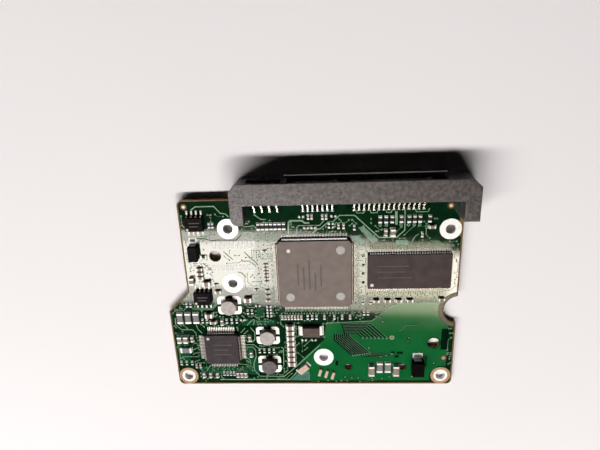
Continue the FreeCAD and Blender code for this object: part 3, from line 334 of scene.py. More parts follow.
class Palette(Enum):
    """The finishes of the board, its copper, its parts and its print."""

    LACQUER = LacquerFinish("dark_green_lacquer", (0.0022, 0.0170, 0.0058), (0.0042, 0.0260, 0.0088),
                            (0.03, 0.06), mottle_size=3.0)
    POUR = LacquerFinish("bright_green_pour", (0.0015, 0.106, 0.021), (0.003, 0.122, 0.026), (0.07, 0.10),
                         mottle_size=6.0)
    DIM_POUR = LacquerFinish("dim_green_pour", (0.005, 0.062, 0.023), (0.009, 0.078, 0.029), (0.03, 0.06),
                             mottle_size=2.5)
    # The teal pour's colour is its own tone raised by a painted sheen.
    TEAL_POUR_AND_SHEEN = LacquerFinish("teal_pour_painted_sheen", (0.045, 0.150, 0.108), (0.075, 0.190, 0.145), (0.10, 0.18),
                              mottle_size=2.0)
    OLIVE = LacquerFinish("olive_border", (0.080, 0.064, 0.026), (0.052, 0.044, 0.018), (0.16, 0.26),
                          specular=0.25)
    TRACK = Finish("green_track", (0.026, 0.118, 0.045), (0.047, 0.160, 0.066), (0.06, 0.11),
                   mottle_size=2.0, grain_depth=0.002)
    PALE_TRACK = Finish("pale_track", (0.160, 0.295, 0.165), (0.245, 0.380, 0.235), (0.08, 0.14),
                        mottle_size=1.0, grain_depth=0.002)
    # Dark gap colour, also used as painted shade on the board under the connector's tails.
    GAP_AND_SHADE = Finish("bare_green_gap_and_painted_shade", (0.001, 0.008, 0.004), (0.002, 0.013, 0.006), (0.5, 0.6),
                 specular=0.0, mottle_size=1.0, grain_depth=0.002)
    BORE = Finish("plated_bore", (0.006, 0.014, 0.009), (0.012, 0.022, 0.014), (0.5, 0.7),
                  specular=0.15, mottle_size=0.3)
    BARE_EDGE = Finish("bare_laminate", (0.210, 0.118, 0.036), (0.120, 0.066, 0.021), (0.4, 0.55),
                       specular=0.15, mottle_size=1.2)
    TIN = MetalFinish("dull_tin", (0.85, 0.85, 0.835), (0.71, 0.71, 0.695), (0.32, 0.50),
                      metallic=0.25, mottle_size=0.6, grain_size=0.15)
    PAD = MetalFinish("dull_pad", (0.72, 0.705, 0.685), (0.62, 0.605, 0.585), (0.40, 0.55),
                      metallic=0.1, specular=0.25, mottle_size=0.6, grain_size=0.15)
    LEAD = MetalFinish("tinned_lead", (0.46, 0.425, 0.40), (0.33, 0.30, 0.28), (0.34, 0.48),
                       metallic=0.9, grain_size=0.15)
    FINE_LAND = MetalFinish("fine_land", (0.44, 0.395, 0.36), (0.32, 0.285, 0.255),
                            metallic=0.2, specular=0.25, grain_size=0.15)
    RING = MetalFinish("dull_ring", (0.30, 0.30, 0.19), (0.22, 0.21, 0.13), (0.40, 0.55), metallic=0.3)
    DOT = MetalFinish("bright_dot", (0.86, 0.72, 0.62), (0.68, 0.54, 0.45), (0.30, 0.45), "bare_copper",
                      metallic=0.3, mottle_size=0.3)
    SOLDER = MetalFinish("solder", (0.84, 0.83, 0.80), (0.66, 0.65, 0.62), (0.22, 0.38),
                         metallic=0.4, mottle_size=0.5, grain_size=0.2)
    SHOULDER = MetalFinish("bright_shoulder", (0.90, 0.89, 0.88), (0.80, 0.79, 0.78), (0.16, 0.24),
                           metallic=1.0)
    # The contacts' near-black edge tint is painted shade that narrows each tail's bright streak.
    CONTACT = ContactFinish("gilt_contact", (0.62, 0.62, 0.63), (0.45, 0.44, 0.44), (0.16, 0.26),
                            metallic=0.95, mottle_size=0.5, edge_width=0.21, edge_wear_and_shade=(0.02, 0.013, 0.008),
                            edge_wear_and_shade_share=0.95)
    BARREL = MetalFinish("tinned_barrel", (0.84, 0.82, 0.80), (0.72, 0.70, 0.68), (0.5, 0.7), specular=0.2)
    COPPER = MetalFinish("dull_bare_copper", (0.42, 0.25, 0.145), (0.29, 0.155, 0.085), (0.35, 0.5),
                         "bare_copper", metallic=0.2, mottle_size=0.5)
    OPENING = MetalFinish("bare_opening", (0.070, 0.038, 0.016), (0.040, 0.026, 0.012), (0.35, 0.5),
                          "solder_mask", specular=0.15, mottle_size=0.5)
    HOUSING = Finish("moulded_connector", (0.010, 0.0078, 0.0086), (0.078, 0.062, 0.067), (0.26, 0.56),
                     "connector_plastic", specular=0.62, mottle_size=0.9, grain_size=0.42, grain_depth=0.05,
                     grain_strength=0.6, edge_width=0.18, edge_wear_and_shade=(0.21, 0.195, 0.193), edge_wear_and_shade_share=0.4)
    GLOSSY_LIP = Finish("glossy_lip", (0.075, 0.070, 0.070), (0.110, 0.104, 0.104), (0.14, 0.22),
                        "connector_plastic", specular=1.0, mottle_size=0.9, grain_depth=0.002,
                        edge_width=0.02)
    CONTROLLER = ResinFinish("controller_resin", (0.192, 0.150, 0.132), (0.222, 0.178, 0.157),
                             slot="pale_package", edge_width=0.12, edge_wear_and_shade=(0.32, 0.27, 0.245))
    MEMORY = ResinFinish("memory_resin", (0.055, 0.038, 0.035), (0.071, 0.051, 0.047),
                         edge_wear_and_shade=(0.15, 0.125, 0.115))
    DRIVER = ResinFinish("driver_resin", (0.040, 0.030, 0.033), (0.054, 0.041, 0.045),
                         mottle_size=2.0, edge_wear_and_shade=(0.13, 0.112, 0.112))
    BLACK_RESIN = ResinFinish("black_resin", (0.003, 0.0025, 0.0025), (0.009, 0.0075, 0.0075), specular=0.06,
                              mottle_size=1.2, grain_size=0.12, edge_width=0.12, edge_wear_and_shade=(0.045, 0.042, 0.041))
    JET_RESIN = ResinFinish("jet_resin", (0.0015, 0.0013, 0.0013), (0.003, 0.0025, 0.0025), specular=0.03,
                            mottle_size=1.2, grain_size=0.12, edge_width=0.12, edge_wear_and_shade=(0.03, 0.028, 0.027))
    FERRITE = FerriteFinish("ground_ferrite", (0.43, 0.37, 0.335), (0.57, 0.50, 0.46),
                            edge_wear_and_shade=(0.66, 0.61, 0.57))
    DARK_FERRITE = FerriteFinish("dark_ferrite", (0.105, 0.092, 0.090), (0.180, 0.160, 0.156),
                                 edge_wear_and_shade=(0.34, 0.31, 0.30))
    WIRE = Finish("lacquered_wire", (0.22, 0.085, 0.03), (0.14, 0.05, 0.02), (0.25, 0.4), "winding_wire",
                  metallic=0.6, mottle_size=0.4)
    TAN = CeramicFinish("fired_tan_ceramic", (0.33, 0.237, 0.178), (0.25, 0.174, 0.130),
                        edge_wear_and_shade=(0.54, 0.42, 0.34))
    PALE_TAN = CeramicFinish("pale_fired_ceramic", (0.70, 0.52, 0.41), (0.58, 0.41, 0.315),
                             edge_wear_and_shade=(0.74, 0.60, 0.50))
    BROWN = CeramicFinish("fired_brown_ceramic", (0.072, 0.047, 0.038), (0.106, 0.074, 0.062),
                          slot="brown_ceramic", mottle_size=1.2, edge_width=0.12, edge_wear_and_shade=(0.22, 0.175, 0.14))
    GLAZE = GlazeFinish("glazed_resistor", (0.020, 0.015, 0.018), (0.038, 0.029, 0.034),
                        edge_wear_and_shade=(0.20, 0.18, 0.18), edge_wear_and_shade_share=0.4)
    # Black glaze whose grey colour is print plus a painted sheen; the dark edge tint is painted shade.
    PRINT_SHEEN_GLAZE = GlazeFinish("resistor_print_painted_sheen_and_shade", (0.19, 0.175, 0.17), (0.27, 0.25, 0.245),
                             mottle_size=0.4, edge_wear_and_shade=(0.06, 0.05, 0.05))
    PRESS_MARK = MarkFinish("smooth_press_mark", (0.40, 0.365, 0.345), (0.49, 0.455, 0.43), (0.30, 0.42),
                            mottle_size=0.8, grain_size=0.3, grain_depth=0.003)
    # The dimples' pale colour is a painted highlight.
    DIMPLE_PAINTED_HIGHLIGHT = MarkFinish("dimple_painted_highlight", (0.60, 0.57, 0.54), (0.48, 0.45, 0.42), (0.25, 0.35),
                        specular=0.5, mottle_size=0.6)
    PRINT = MarkFinish("dark_print", (0.128, 0.104, 0.094), (0.155, 0.128, 0.116))
    FAINT_PRINT = MarkFinish("faint_print", (0.115, 0.094, 0.088), (0.088, 0.070, 0.065), slot="dark_package")


class Face(Enum):
    """The board's two faces, each as its height and the way out of it."""

    TOP = (BOARD_TOP, 1.0)
    UNDER = (0.0, -1.0)

    def layer(self, thickness: float) -> Point:
        """Gives the lower and upper height of a thin layer on this face."""
        level, way = self.value
        return min(level, level + way * thickness), max(level, level + way * thickness)


class Side(Enum):
    """The four ways out of a chip, each as a step along X and Y."""

    LEFT = (-1, 0)
    RIGHT = (1, 0)
    LOWER = (0, -1)
    UPPER = (0, 1)

    def beyond(self, block: "Block", out: float, across: float) -> Point:
        """Gives a point beyond the middle of a block's face on this side.

        Args:
            block: The block to start from.
            out: Distance out of its face.
            across: Distance along its face.

        Returns:
            The point on the board.
        """
        step_x, step_y = self.value
        middle = block.middle
        half_x, half_y = block.half
        return (middle[0] + step_x * (half_x + out) - step_y * across,
                middle[1] + step_y * (half_y + out) + step_x * across)

    def breadth(self, block: "Block") -> float:
        """Gives a block's width along its face on this side."""
        return 2.0 * (block.half[1] if self.value[0] else block.half[0])


@dataclass(frozen=True)
class Block:
    """The box round one solid."""

    low: Spot
    high: Spot

    @property
    def middle(self) -> Point:
        """The box's middle, seen from above."""
        return ((self.low[0] + self.high[0]) / 2.0, (self.low[1] + self.high[1]) / 2.0)

    @property
    def half(self) -> Point:
        """Half of the box's size along X and Y."""
        return ((self.high[0] - self.low[0]) / 2.0, (self.high[1] - self.low[1]) / 2.0)

    def side_of(self, other: "Block") -> Side:
        """Tells on which side of this block another one lies.

        Args:
            other: The other block.

        Returns:
            The side.
        """
        shift_x = (other.middle[0] - self.middle[0]) / self.half[0]
        shift_y = (other.middle[1] - self.middle[1]) / self.half[1]
        if abs(shift_x) > abs(shift_y):
            return Side.RIGHT if shift_x > 0 else Side.LEFT
        return Side.UPPER if shift_y > 0 else Side.LOWER


def node_block(node: str) -> Block:
    """Gives the box round a whole node."""
    low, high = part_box(node)
    return Block(tuple(value / MM for value in low), tuple(value / MM for value in high))


def solids_of(node: str) -> list[Block]:
    """Finds the separate solids of a node.

    Args:
        node: The node's name.

    Returns:
        The box round each of its solids.
    """
    mesh = frame["nodes"][node].data
    spots = [tuple(round(value / MM, 4) for value in vertex.co) for vertex in mesh.vertices]
    parent = {spot: spot for spot in spots}

    def root(spot: Spot) -> Spot:
        """Follows a spot to the one that stands for its solid.

        Args:
            spot: The spot.

        Returns:
            The solid's own spot.
        """
        while parent[spot] != spot:
            parent[spot] = parent[parent[spot]]
            spot = parent[spot]
        return spot

    for edge in mesh.edges:
        first, second = (root(spots[index]) for index in edge.vertices)
        parent[first] = second
    groups: dict[Spot, list[Spot]] = {}
    for spot in parent:
        groups.setdefault(root(spot), []).append(spot)
    return [Block(tuple(map(min, *group)), tuple(map(max, *group))) for group in groups.values()]


def polar(centre: Point, radius: float, turns: list[float]) -> list[Point]:
    """Gives the points at some turns round a middle."""
    return [(centre[0] + radius * math.cos(turn), centre[1] + radius * math.sin(turn)) for turn in turns]


def circle(centre: Point, radius: float, sides: int) -> list[Point]:
    """Gives the corners of an even outline round a point, anticlockwise."""
    return polar(centre, radius, [2.0 * math.pi * index / sides for index in range(sides)])


def arc(centre: Point, radius: float, start: int, end: int) -> list[Point]:
    """Gives evenly spaced points on an arc, from one angle in degrees to another."""
    count = max(2, abs(end - start) // ARC_STEP)
    return polar(centre, radius, [math.radians(start + (end - start) * index / count)
                                  for index in range(count + 1)])


def between(start: Point, end: Point, share: float) -> Point:
    """Gives the point that lies a share of the way from one point to another."""
    return tuple(a + (b - a) * share for a, b in zip(start, end))


def offset(before: Vector, after: Vector, distance: float) -> Vector:
    """Gives the shift of a corner to the left of its way, so that both its sides move by a distance.

    Args:
        before: The way into the corner, of length 1.
        after: The way out of it, of length 1.
        distance: How far the sides move.

    Returns:
        The shift.
    """
    sharpest = 0.4
    across = (before + after).normalized().orthogonal()
    return across * (distance / max(across.dot(after.orthogonal()), sharpest))


def inset(outline: list[Point], distance: float) -> list[Point]:
    """Draws an anticlockwise outline in by a distance.

    Args:
        outline: The outline's corners.
        distance: How far each side moves in.

    Returns:
        The moved corners.
    """
    spots = [Vector(point) for point in outline]
    ways = [(after - spot).normalized() for spot, after in zip(spots, spots[1:] + spots[:1])]
    return [tuple(spot + offset(ways[index - 1], ways[index], distance)) for index, spot in enumerate(spots)]


def within(point: Point, outline: list[Point]) -> bool:
    """Tells whether a point lies inside an outline.

    Args:
        point: The point.
        outline: The outline's corners.

    Returns:
        True inside.
    """
    inside = False
    for (ax, ay), (bx, by) in zip(outline, outline[1:] + outline[:1]):
        if (ay > point[1]) != (by > point[1]) and point[0] < (bx - ax) * (point[1] - ay) / (by - ay) + ax:
            inside = not inside
    return inside


def board_outline() -> list[Point]:
    """Finds the outer outline of the board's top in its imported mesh.

    Returns:
        The outline's corners, anticlockwise.
    """
    upward, close = 0.9, 0.01
    mesh = frame["nodes"]["circuit_board"].data
    pairs: set[tuple[Point, Point]] = set()
    for face in mesh.polygons:
        spots = [mesh.vertices[index].co / MM for index in face.vertices]
        if face.normal.z > upward and all(abs(spot.z - BOARD_TOP) < close for spot in spots):
            corners = [(round(spot.x, 4), round(spot.y, 4)) for spot in spots]
            pairs.update(zip(corners, corners[1:] + corners[:1]))
    onward = {start: end for start, end in pairs if (end, start) not in pairs}
    start = min(onward)
    outline = [start]
    while onward[outline[-1]] != start:
        outline.append(onward[outline[-1]])
    return outline


class Form:
    """Gathers closed shapes into one mesh. A layer is a lower and an upper height."""

    def __init__(self) -> None:
        """Starts with nothing."""
        self.points: list[Spot] = []
        self.faces: list[tuple[int, ...]] = []

    def wrap(self, rings: list[list[Spot]], closed: bool = False) -> None:
        """Joins each ring of a stack to the next one.

        Args:
            rings: Rings of as many points each.
            closed: Whether the last ring also joins the first one.
        """
        base, count, levels = len(self.points), len(rings[0]), len(rings)
        for ring in rings:
            self.points.extend(ring)
        for level in range(levels if closed else levels - 1):
            start, up = base + level * count, base + (level + 1) % levels * count
            for index in range(count):
                after = (index + 1) % count
                self.faces.append((start + index, start + after, up + after, up + index))

    def loft(self, rings: list[list[Spot]]) -> None:
        """Joins a stack of equal rings into a closed solid.

        Args:
            rings: The rings from the first end to the last.
        """
        base, count = len(self.points), len(rings[0])
        self.wrap(rings)
        end = len(self.points)
        self.faces.append(tuple(range(base + count - 1, base - 1, -1)))
        self.faces.append(tuple(range(end - count, end)))

    def plate(self, outline: list[Point], layer: Point) -> None:
        """Raises an outline through a layer."""
        self.loft([[(x, y, height) for x, y in outline] for height in layer])

    def slab(self, low: Point, high: Point, layer: Point) -> None:
        """Adds a plain block between two corners, through a layer."""
        self.plate([low, (high[0], low[1]), high, (low[0], high[1])], layer)

    def disc(self, centre: Point, radius: float, layer: Point, sides: int) -> None:
        """Adds a flat disc."""
        self.plate(circle(centre, radius, sides), layer)

    def band(self, outer: list[Point], inner: list[Point], layer: Point) -> None:
        """Adds a flat ring between two outlines of as many corners."""
        loops = zip((inner, outer, outer, inner), (layer[0], layer[0], layer[1], layer[1]))
        self.wrap([[(x, y, height) for x, y in outline] for outline, height in loops], closed=True)

    def washer(self, centre: Point, radii: Point, layer: Point, sides: int) -> None:
        """Adds a flat round ring, by its inner and outer radius."""
        inner, outer = (circle(centre, radius, sides) for radius in radii)
        self.band(outer, inner, layer)

    def sheet(self, outline: list[Point], holes: list[list[Point]], layer: Point) -> None:
        """Raises an outline with holes in it through a layer.

        Args:
            outline: The outline's corners.
            holes: The corners of each hole.
            layer: The lower and upper height.
        """
        loops = [outline, *holes]
        total = sum(len(loop) for loop in loops)
        base = len(self.points)
        for height in layer:
            self.points.extend((x, y, height) for loop in loops for x, y in loop)
        for corners in tessellate_polygon([[Vector((x, y, 0.0)) for x, y in loop] for loop in loops]):
            self.faces.append(tuple(base + index for index in corners))
            self.faces.append(tuple(base + total + index for index in reversed(corners)))
        start = base
        for loop in loops:
            for index in range(len(loop)):
                here, after = start + index, start + (index + 1) % len(loop)
                self.faces.append((here, after, after + total, here + total))
            start += len(loop)

    def strip(self, path: list[Point], width: float, layer: Point) -> None:
        """Adds a strip of even width along a path, with sloped shoulders.

        Args:
            path: The points that the strip's middle passes.
            width: The strip's width.
            layer: The lower and upper height.
        """
        spots = [Vector(point) for point in path]
        ways = [(after - spot).normalized() for spot, after in zip(spots, spots[1:])]
        shoulder = min(STRIP_SHOULDER, width / 4.0)
        rings = []
        for half, height in zip((width / 2.0, width / 2.0 - shoulder), layer):
            left, right = [], []
            for spot, before, after in zip(spots, ways[:1] + ways, ways + ways[-1:]):
                shift = offset(before, after, half)
                left.append((*(spot + shift), height))
                right.append((*(spot - shift), height))
            rings.append(right + left[::-1])
        self.loft(rings)

    def sweep(self, profile: list[Point], block: Block, side: Side, breadth: float) -> None:
        """Sweeps a profile, as distance out of a block's face and height, along that face."""
        self.loft([[(*side.beyond(block, out, across), height) for out, height in profile]
                   for across in (-breadth / 2.0, breadth / 2.0)])

    def dome(self, centre: Point, radius: float, foot: float, rise: float, sides: int = 14) -> None:
        """Adds a low dome, by its middle, its radius and height at the foot and its rise."""
        self.loft([[(x, y, foot + rise * math.sin(angle))
                    for x, y in circle(centre, radius * math.cos(angle), sides)]
                   for angle in map(math.radians, (0, 25, 50, 75))])

    def thing(self, name: str, material: bpy.types.Material, smooth: bool = False) -> bpy.types.Object:
        """Makes the gathered shapes an object of the scene.

        Args:
            name: The object's name.
            material: Its material.
            smooth: Whether its faces are shaded smooth.

        Returns:
            The object.
        """
        mesh = bpy.data.meshes.new(name)
        mesh.from_pydata([tuple(value * MM for value in spot) for spot in self.points], [], self.faces)
        cleaner = bmesh.new()
        cleaner.from_mesh(mesh)
        bmesh.ops.recalc_face_normals(cleaner, faces=cleaner.faces)
        cleaner.to_mesh(mesh)
        cleaner.free()
        mesh.polygons.foreach_set("use_smooth", [smooth] * len(mesh.polygons))
        mesh.materials.append(material)
        thing = bpy.data.objects.new(name, mesh)
        bpy.context.scene.collection.objects.link(thing)
        return thing

    def piece(self, name: str, finish: Palette, smooth: bool = False) -> bpy.types.Object:
        """Makes the gathered shapes a piece that rides on the board.

        Args:
            name: The piece's name.
            finish: Its finish.
            smooth: Whether its faces are shaded smooth.

        Returns:
            The piece.
        """
        piece = self.thing(name, finish.value.material(), smooth)
        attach(piece, "root")
        return piece


@dataclass
class PartDressing:
    """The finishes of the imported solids, by node or else by the record's slot."""

    def by_node(self) -> dict[str, Palette]:
        """Gives the nodes whose finish differs from their slot's."""
        groups = {Palette.DRIVER: ["motor_driver_body"], Palette.MEMORY: ["memory_body"],
                  Palette.JET_RESIN: ["clamp_diode_body"], Palette.DARK_FERRITE: ["lower_inductor_core"],
                  Palette.CONTACT: ["signal_contacts", "power_contacts", "jumper_pins"],
                  Palette.LEAD: [f"{chip}_leads" for chip in CHIPS], Palette.PAD: ["head_contact_pads"],
                  Palette.PRINT_SHEEN_GLAZE: ["sense_resistor_bodies"],
                  Palette.PALE_TAN: ["motor_contacts", "shock_sensor_body"]}
        return {node: finish for finish, nodes in groups.items() for node in nodes}

    def by_slot(self) -> dict[str, Palette]:
        """Gives the usual finish of each slot."""
        return {finish.value.slot: finish for finish in (
            Palette.LACQUER, Palette.TIN, Palette.COPPER, Palette.HOUSING, Palette.CONTROLLER,
            Palette.BLACK_RESIN, Palette.FERRITE, Palette.WIRE, Palette.TAN, Palette.BROWN, Palette.GLAZE)}

    def build(self) -> list[bpy.types.Object]:
        """Puts each node's finish on its solids.

        Returns:
            The dressed nodes.
        """
        nodes, slots = self.by_node(), self.by_slot()
        for part in frame["record"]["subparts"]:
            finish = nodes.get(part["node"], slots[part["material_slot"]])
            for slot in frame["nodes"][part["node"]].material_slots:
                slot.material = finish.value.material()
        return list(frame["nodes"].values())


@dataclass
class FreeGround:
    """A grid over one face of the board that knows where nothing stands yet."""

    face: Face
    step: float = 0.3
    low: Point = (-2.3, -2.2)
    high: Point = (77.0, 51.0)
    slant_from: float = 22.1
    slant: float = 6.1
    margin: float = 0.3
    hole_reaches: tuple[float, ...] = (3.3, 2.2, 1.6, 5.2)

    def __post_init__(self) -> None:
        """Marks the holes and the connector, and on the top all other parts that stand on the board."""
        self.taken: set[tuple[int, int]] = set()
        for centres, reach in zip((SCREW_HOLES, GUIDE_HOLES, PEG_HOLES, (EDGE_NOTCH,)), self.hole_reaches):
            for centre in centres:
                self.take(Block((*centre, 0.0), (*centre, 0.0)), reach)
        self.take(node_block("connector_housing"), 0.0)
        if self.face is Face.TOP:
            for node in frame["nodes"]:
                if node not in ("circuit_board", "connector_housing"):
                    for block in solids_of(node):
                        self.take(block, self.margin)

    def cell(self, point: Point) -> tuple[int, int]:
        """Gives the grid's cell at a point."""
        return round(point[0] / self.step), round(point[1] / self.step)

    def take(self, block: Block, margin: float) -> None:
        """Marks the cells under a block and a margin round it.

        Args:
            block: The block.
            margin: Width of the margin.
        """
        left, lower = self.cell((block.low[0] - margin, block.low[1] - margin))
        right, upper = self.cell((block.high[0] + margin, block.high[1] + margin))
        self.taken.update((x, y) for x in range(left, right + 1) for y in range(lower, upper + 1))

    def take_spot(self, point: Point, reach: int = 1) -> None:
        """Marks the cells round a point.

        Args:
            point: The point.
            reach: Number of cells marked beyond the point's own.
        """
        column, row = self.cell(point)
        steps = range(-reach, reach + 1)
        self.taken.update((column + x, row + y) for x in steps for y in steps)

    def free(self, point: Point) -> bool:
        """Tells whether a point is on the board with nothing there yet.

        Args:
            point: The point.

        Returns:
            True on free ground.
        """
        x, y = point
        left = self.low[0] + min(max(y - self.slant_from, 0.0), self.slant)
        on_board = left < x < self.high[0] and self.low[1] < y < self.high[1]
        return on_board and self.cell(point) not in self.taken


@dataclass
class CopperLayer:
    """The copper under the lacquer of one face: tracks and plated holes."""

    plated: list[Point] = field(default_factory=list)
    face: Face = Face.TOP
    pour_height: float = 0.015
    gap_height: float = 0.020
    track_height: float = 0.032
    via_height: float = 0.036
    via_radii: Point = (0.12, 0.24)
    via_sides: int = 10
    seed: int = 7
    tries: int = 2600
    fill_from: float = -2.0
    fill_widths: tuple[float, ...] = (0.13, 0.16, 0.2)

    def start(self) -> None:
        """Starts with free ground and empty forms."""
        self.ground = FreeGround(self.face)
        self.tracks, self.pale, self.gaps, self.vias, self.bores = (Form() for _ in range(5))
        self.gap_layer = self.face.layer(self.gap_height)
        self.track_layer = self.face.layer(self.track_height)

    def route(self, path: list[Point], width: float, form: Form) -> None:
        """Lays one track and keeps others off it.

        Args:
            path: The points passed.
            width: The track's width.
            form: The form to add it to.
        """
        form.strip(path, width, self.track_layer)
        for start, end in zip(path, path[1:]):
            steps = max(1, round(math.dist(start, end) / self.ground.step))
            for index in range(steps + 1):
                self.ground.take_spot(between(start, end, index / steps))

    def via(self, point: Point, radii: Point | None = None) -> None:
        """Sets one plated hole and keeps others off it.

        Args:
            point: Its middle.
            radii: Its bore's and its ring's radius, if not the usual ones.
        """
        bore, ring = radii or self.via_radii
        self.vias.washer(point, (bore, ring), self.face.layer(self.via_height), self.via_sides)
        self.bores.disc(point, bore, self.gap_layer, self.via_sides)
        self.ground.take_spot(point)

    def join(self, point: Point) -> None:
        """Ends a track in a plated hole and notes its place."""
        self.via(point)
        self.plated.append(point)

    def fill(self) -> None:
        """Fills the free ground with short bent tracks between plated holes, the same in each run."""
        draw = random.Random(self.seed)
        right, upper = self.ground.high
        for _ in range(self.tries):
            start = (draw.uniform(self.fill_from, right), draw.uniform(self.fill_from, upper))
            path, turn = [start], draw.randrange(8)
            for _ in range(draw.randint(1, 3)):
                path.extend(self.leg(path[-1], turn, draw.randint(3, 11)))
                turn += draw.choice((-1, 1))
            if len(path) > 1 and self.ground.free(start):
                self.route(path, draw.choice(self.fill_widths), draw.choice((self.tracks, self.pale)))
                self.join(path[0])
                self.join(path[-1])

    def leg(self, start: Point, turn: int, steps: int) -> list[Point]:
        """Walks straight on until something is in the way.

        Args:
            start: The first point.
            turn: The direction in eighths of a turn.
            steps: Number of steps at most.

        Returns:
            The last free point, or nothing where the way is too short.
        """
        angle = turn * math.pi / 4.0
        way = (math.cos(angle) * self.ground.step, math.sin(angle) * self.ground.step)
        count = 0
        while count < steps:
            ahead = (start[0] + way[0] * (count + 1), start[1] + way[1] * (count + 1))
            if not self.ground.free(ahead):
                break
            count += 1
        return [(start[0] + way[0] * count, start[1] + way[1] * count)] if count > 1 else []


@dataclass
class TopCopper(CopperLayer):
    """The copper of the top: broad pours, the tracks that stand out, buses and filled ground."""

    gap_width: float = 0.6
    groove_width: float = 0.22
    beside_width: float = 0.12
    beside_shift: Point = (0.27, 0.1)
    tie_width: float = 0.25
    fan_width: float = 0.14
    fan_radii: Point = (0.1, 0.22)
    mark_radii: Point = (0.28, 0.5)
    mark_via_radii: Point = (0.12, 0.28)
    ringed_via_radii: Point = (0.22, 0.42)
    dark_disc: float = 0.42
    broad_width: float = 0.8
    hole_sides: int = 32
    mark_sides: int = 16
    disc_sides: int = 12
    bent_widths: Point = (0.5, 0.2)
    tail_shade_band: Point = (51.8, 53.4)
    ringed_row: float = 47.0
    slant_width: float = 0.2
    fan_from: float = 0.2

    def bright_outline(self) -> list[Point]:
        """Gives the outline of the bright pour on the lower right, which starts with its upper rim."""
        notch = arc(EDGE_NOTCH, 5.7, 154, 236)
        return [(41.5, 17.8), (54.4, 18.4), (59.9, 23.1), (61.5, 24.0), *notch, (75.7, 16.6), (75.7, 3.2),
                (73.6, 3.2), (71.2, 1.0), (71.2, -1.7), (36.5, -1.7), (36.5, 1.7), (33.3, 1.3), (33.6, 4.9),
                (40.8, 12.2)]

    def pour_holes(self) -> list[tuple[Point, float]]:
        """Gives the middle and radius of each round opening in the bright pour."""
        return [(GUIDE_HOLES[1], 1.95), *((hole, 1.2) for hole in PEG_HOLES), (SCREW_HOLES[4], 2.9)]

    def dim_outlines(self) -> list[list[Point]]:
        """Gives the outlines of the dimmer pours."""
        return [[(17.6, 10.4), (20.2, 10.2), (20.2, 7.2), (21.4, 4.4), (21.4, 0.4), (4.2, 0.4), (4.2, 3.2),
                 (17.6, 3.2)],
                [(-2.2, 4.4), (1.2, 4.4), (1.2, 14.2), (-2.2, 14.2)],
                [(22.1, 22.9), (24.3, 22.8), (24.1, 19.8), (21.8, 19.9)],
                [(17.6, 17.2), (27.2, 17.2), (27.2, 19.0), (17.6, 19.0)]]

    def teal_outlines(self) -> list[list[Point]]:
        """Gives the outlines of the paler pours."""
        return [[(50.5, 46.5), (51.8, 46.9), (55.8, 43.0), (54.3, 41.8)],
                [(47.9, 44.3), (50.5, 44.3), (52.6, 42.2), (51.3, 41.6)],
                [(60.4, 42.8), (63.5, 42.7), (63.6, 41.3), (60.5, 41.4)],
                [(30.6, -1.7), (33.2, 1.2), (36.4, 1.6), (36.4, -1.7)]]

    def routes(self) -> list[tuple[float, list[Point]]]:
        """Gives the tracks that stand out, as a width and the points passed."""
        return [(0.35, [(6.7, 52.3), (8.0, 53.2), (12.9, 53.2), (14.4, 51.3), (15.7, 51.1), (16.6, 50.2)]),
                (0.3, [(23.3, 50.7), (25.1, 49.3), (26.4, 49.3)]),
                (0.3, [(20.3, 47.4), (21.9, 47.4), (22.8, 47.7), (23.6, 47.0), (24.3, 46.0)]),
                (0.3, [(19.5, 45.9), (21.9, 45.8), (23.2, 45.0), (21.8, 44.1), (20.0, 44.7)]),
                (0.5, [(32.1, 45.2), (32.3, 48.3), (32.8, 48.8), (36.0, 48.7), (36.5, 48.1), (37.8, 48.1)]),
                (0.3, [(34.3, 45.2), (34.5, 47.0), (34.9, 47.4), (40.4, 47.3), (41.7, 48.7)]),
                (0.35, [(38.5, 45.2), (39.8, 46.3), (40.6, 46.4), (42.7, 48.2), (44.0, 48.3), (45.7, 50.0),
                        (49.6, 49.9), (56.0, 43.6), (60.5, 43.5), (62.6, 45.5), (62.5, 51.1)]),
                (0.7, [(60.3, 50.8), (60.4, 47.1)]),
                (0.25, [(64.6, 42.0), (65.3, 43.7), (66.3, 44.4)]),
                (0.3, [(-1.7, 19.9), (-1.8, 17.7), (-0.3, 16.0), (2.9, 16.0), (3.8, 14.8), (3.8, 13.9)]),
                (0.25, [(4.2, 17.7), (4.5, 16.2), (5.6, 14.8)]),
                (0.25, [(16.9, 14.8), (18.3, 16.4)]),
                (0.25, [(17.7, 14.4), (19.1, 15.6)]),
                (0.3, [(18.9, 17.3), (20.6, 19.1), (21.2, 19.1), (20.8, 17.5)]),
                (0.3, [(19.8, 16.6), (21.0, 14.9), (20.8, 12.5), (20.2, 11.8), (18.4, 11.8)]),
                (0.3, [(18.1, 10.8), (20.4, 10.8), (21.7, 9.5), (23.2, 9.5)]),
                (0.3, [(18.2, 10.0), (20.1, 10.0), (20.8, 8.9), (20.8, 6.6), (19.9, 4.1), (20.0, 1.9),
                       (21.5, -0.2), (28.6, -0.4), (32.7, 3.4), (39.6, 10.6)]),
                (0.25, [(17.5, 6.8), (18.9, 5.6), (19.0, 4.1)]),
                (0.25, [(28.3, 10.0), (29.0, 9.3), (28.8, 3.7), (27.9, 2.0)]),
                (0.35, [(9.3, -1.4), (30.4, -1.4), (32.7, 1.4)]),
                (0.25, [(4.3, 10.1), (2.7, 9.3), (1.9, 9.1)]),
                (0.25, [(4.3, 8.2), (2.7, 8.0), (2.0, 7.4)]),
                (0.25, [(3.9, 6.7), (-1.2, 6.8)]),
                (0.25, [(4.0, 5.6), (2.7, 5.2), (2.2, 4.7)]),
                (0.25, [(7.0, 3.8), (6.0, 2.4), (5.5, 1.4)]),
                (0.25, [(15.2, 4.2), (18.4, 3.8)])]

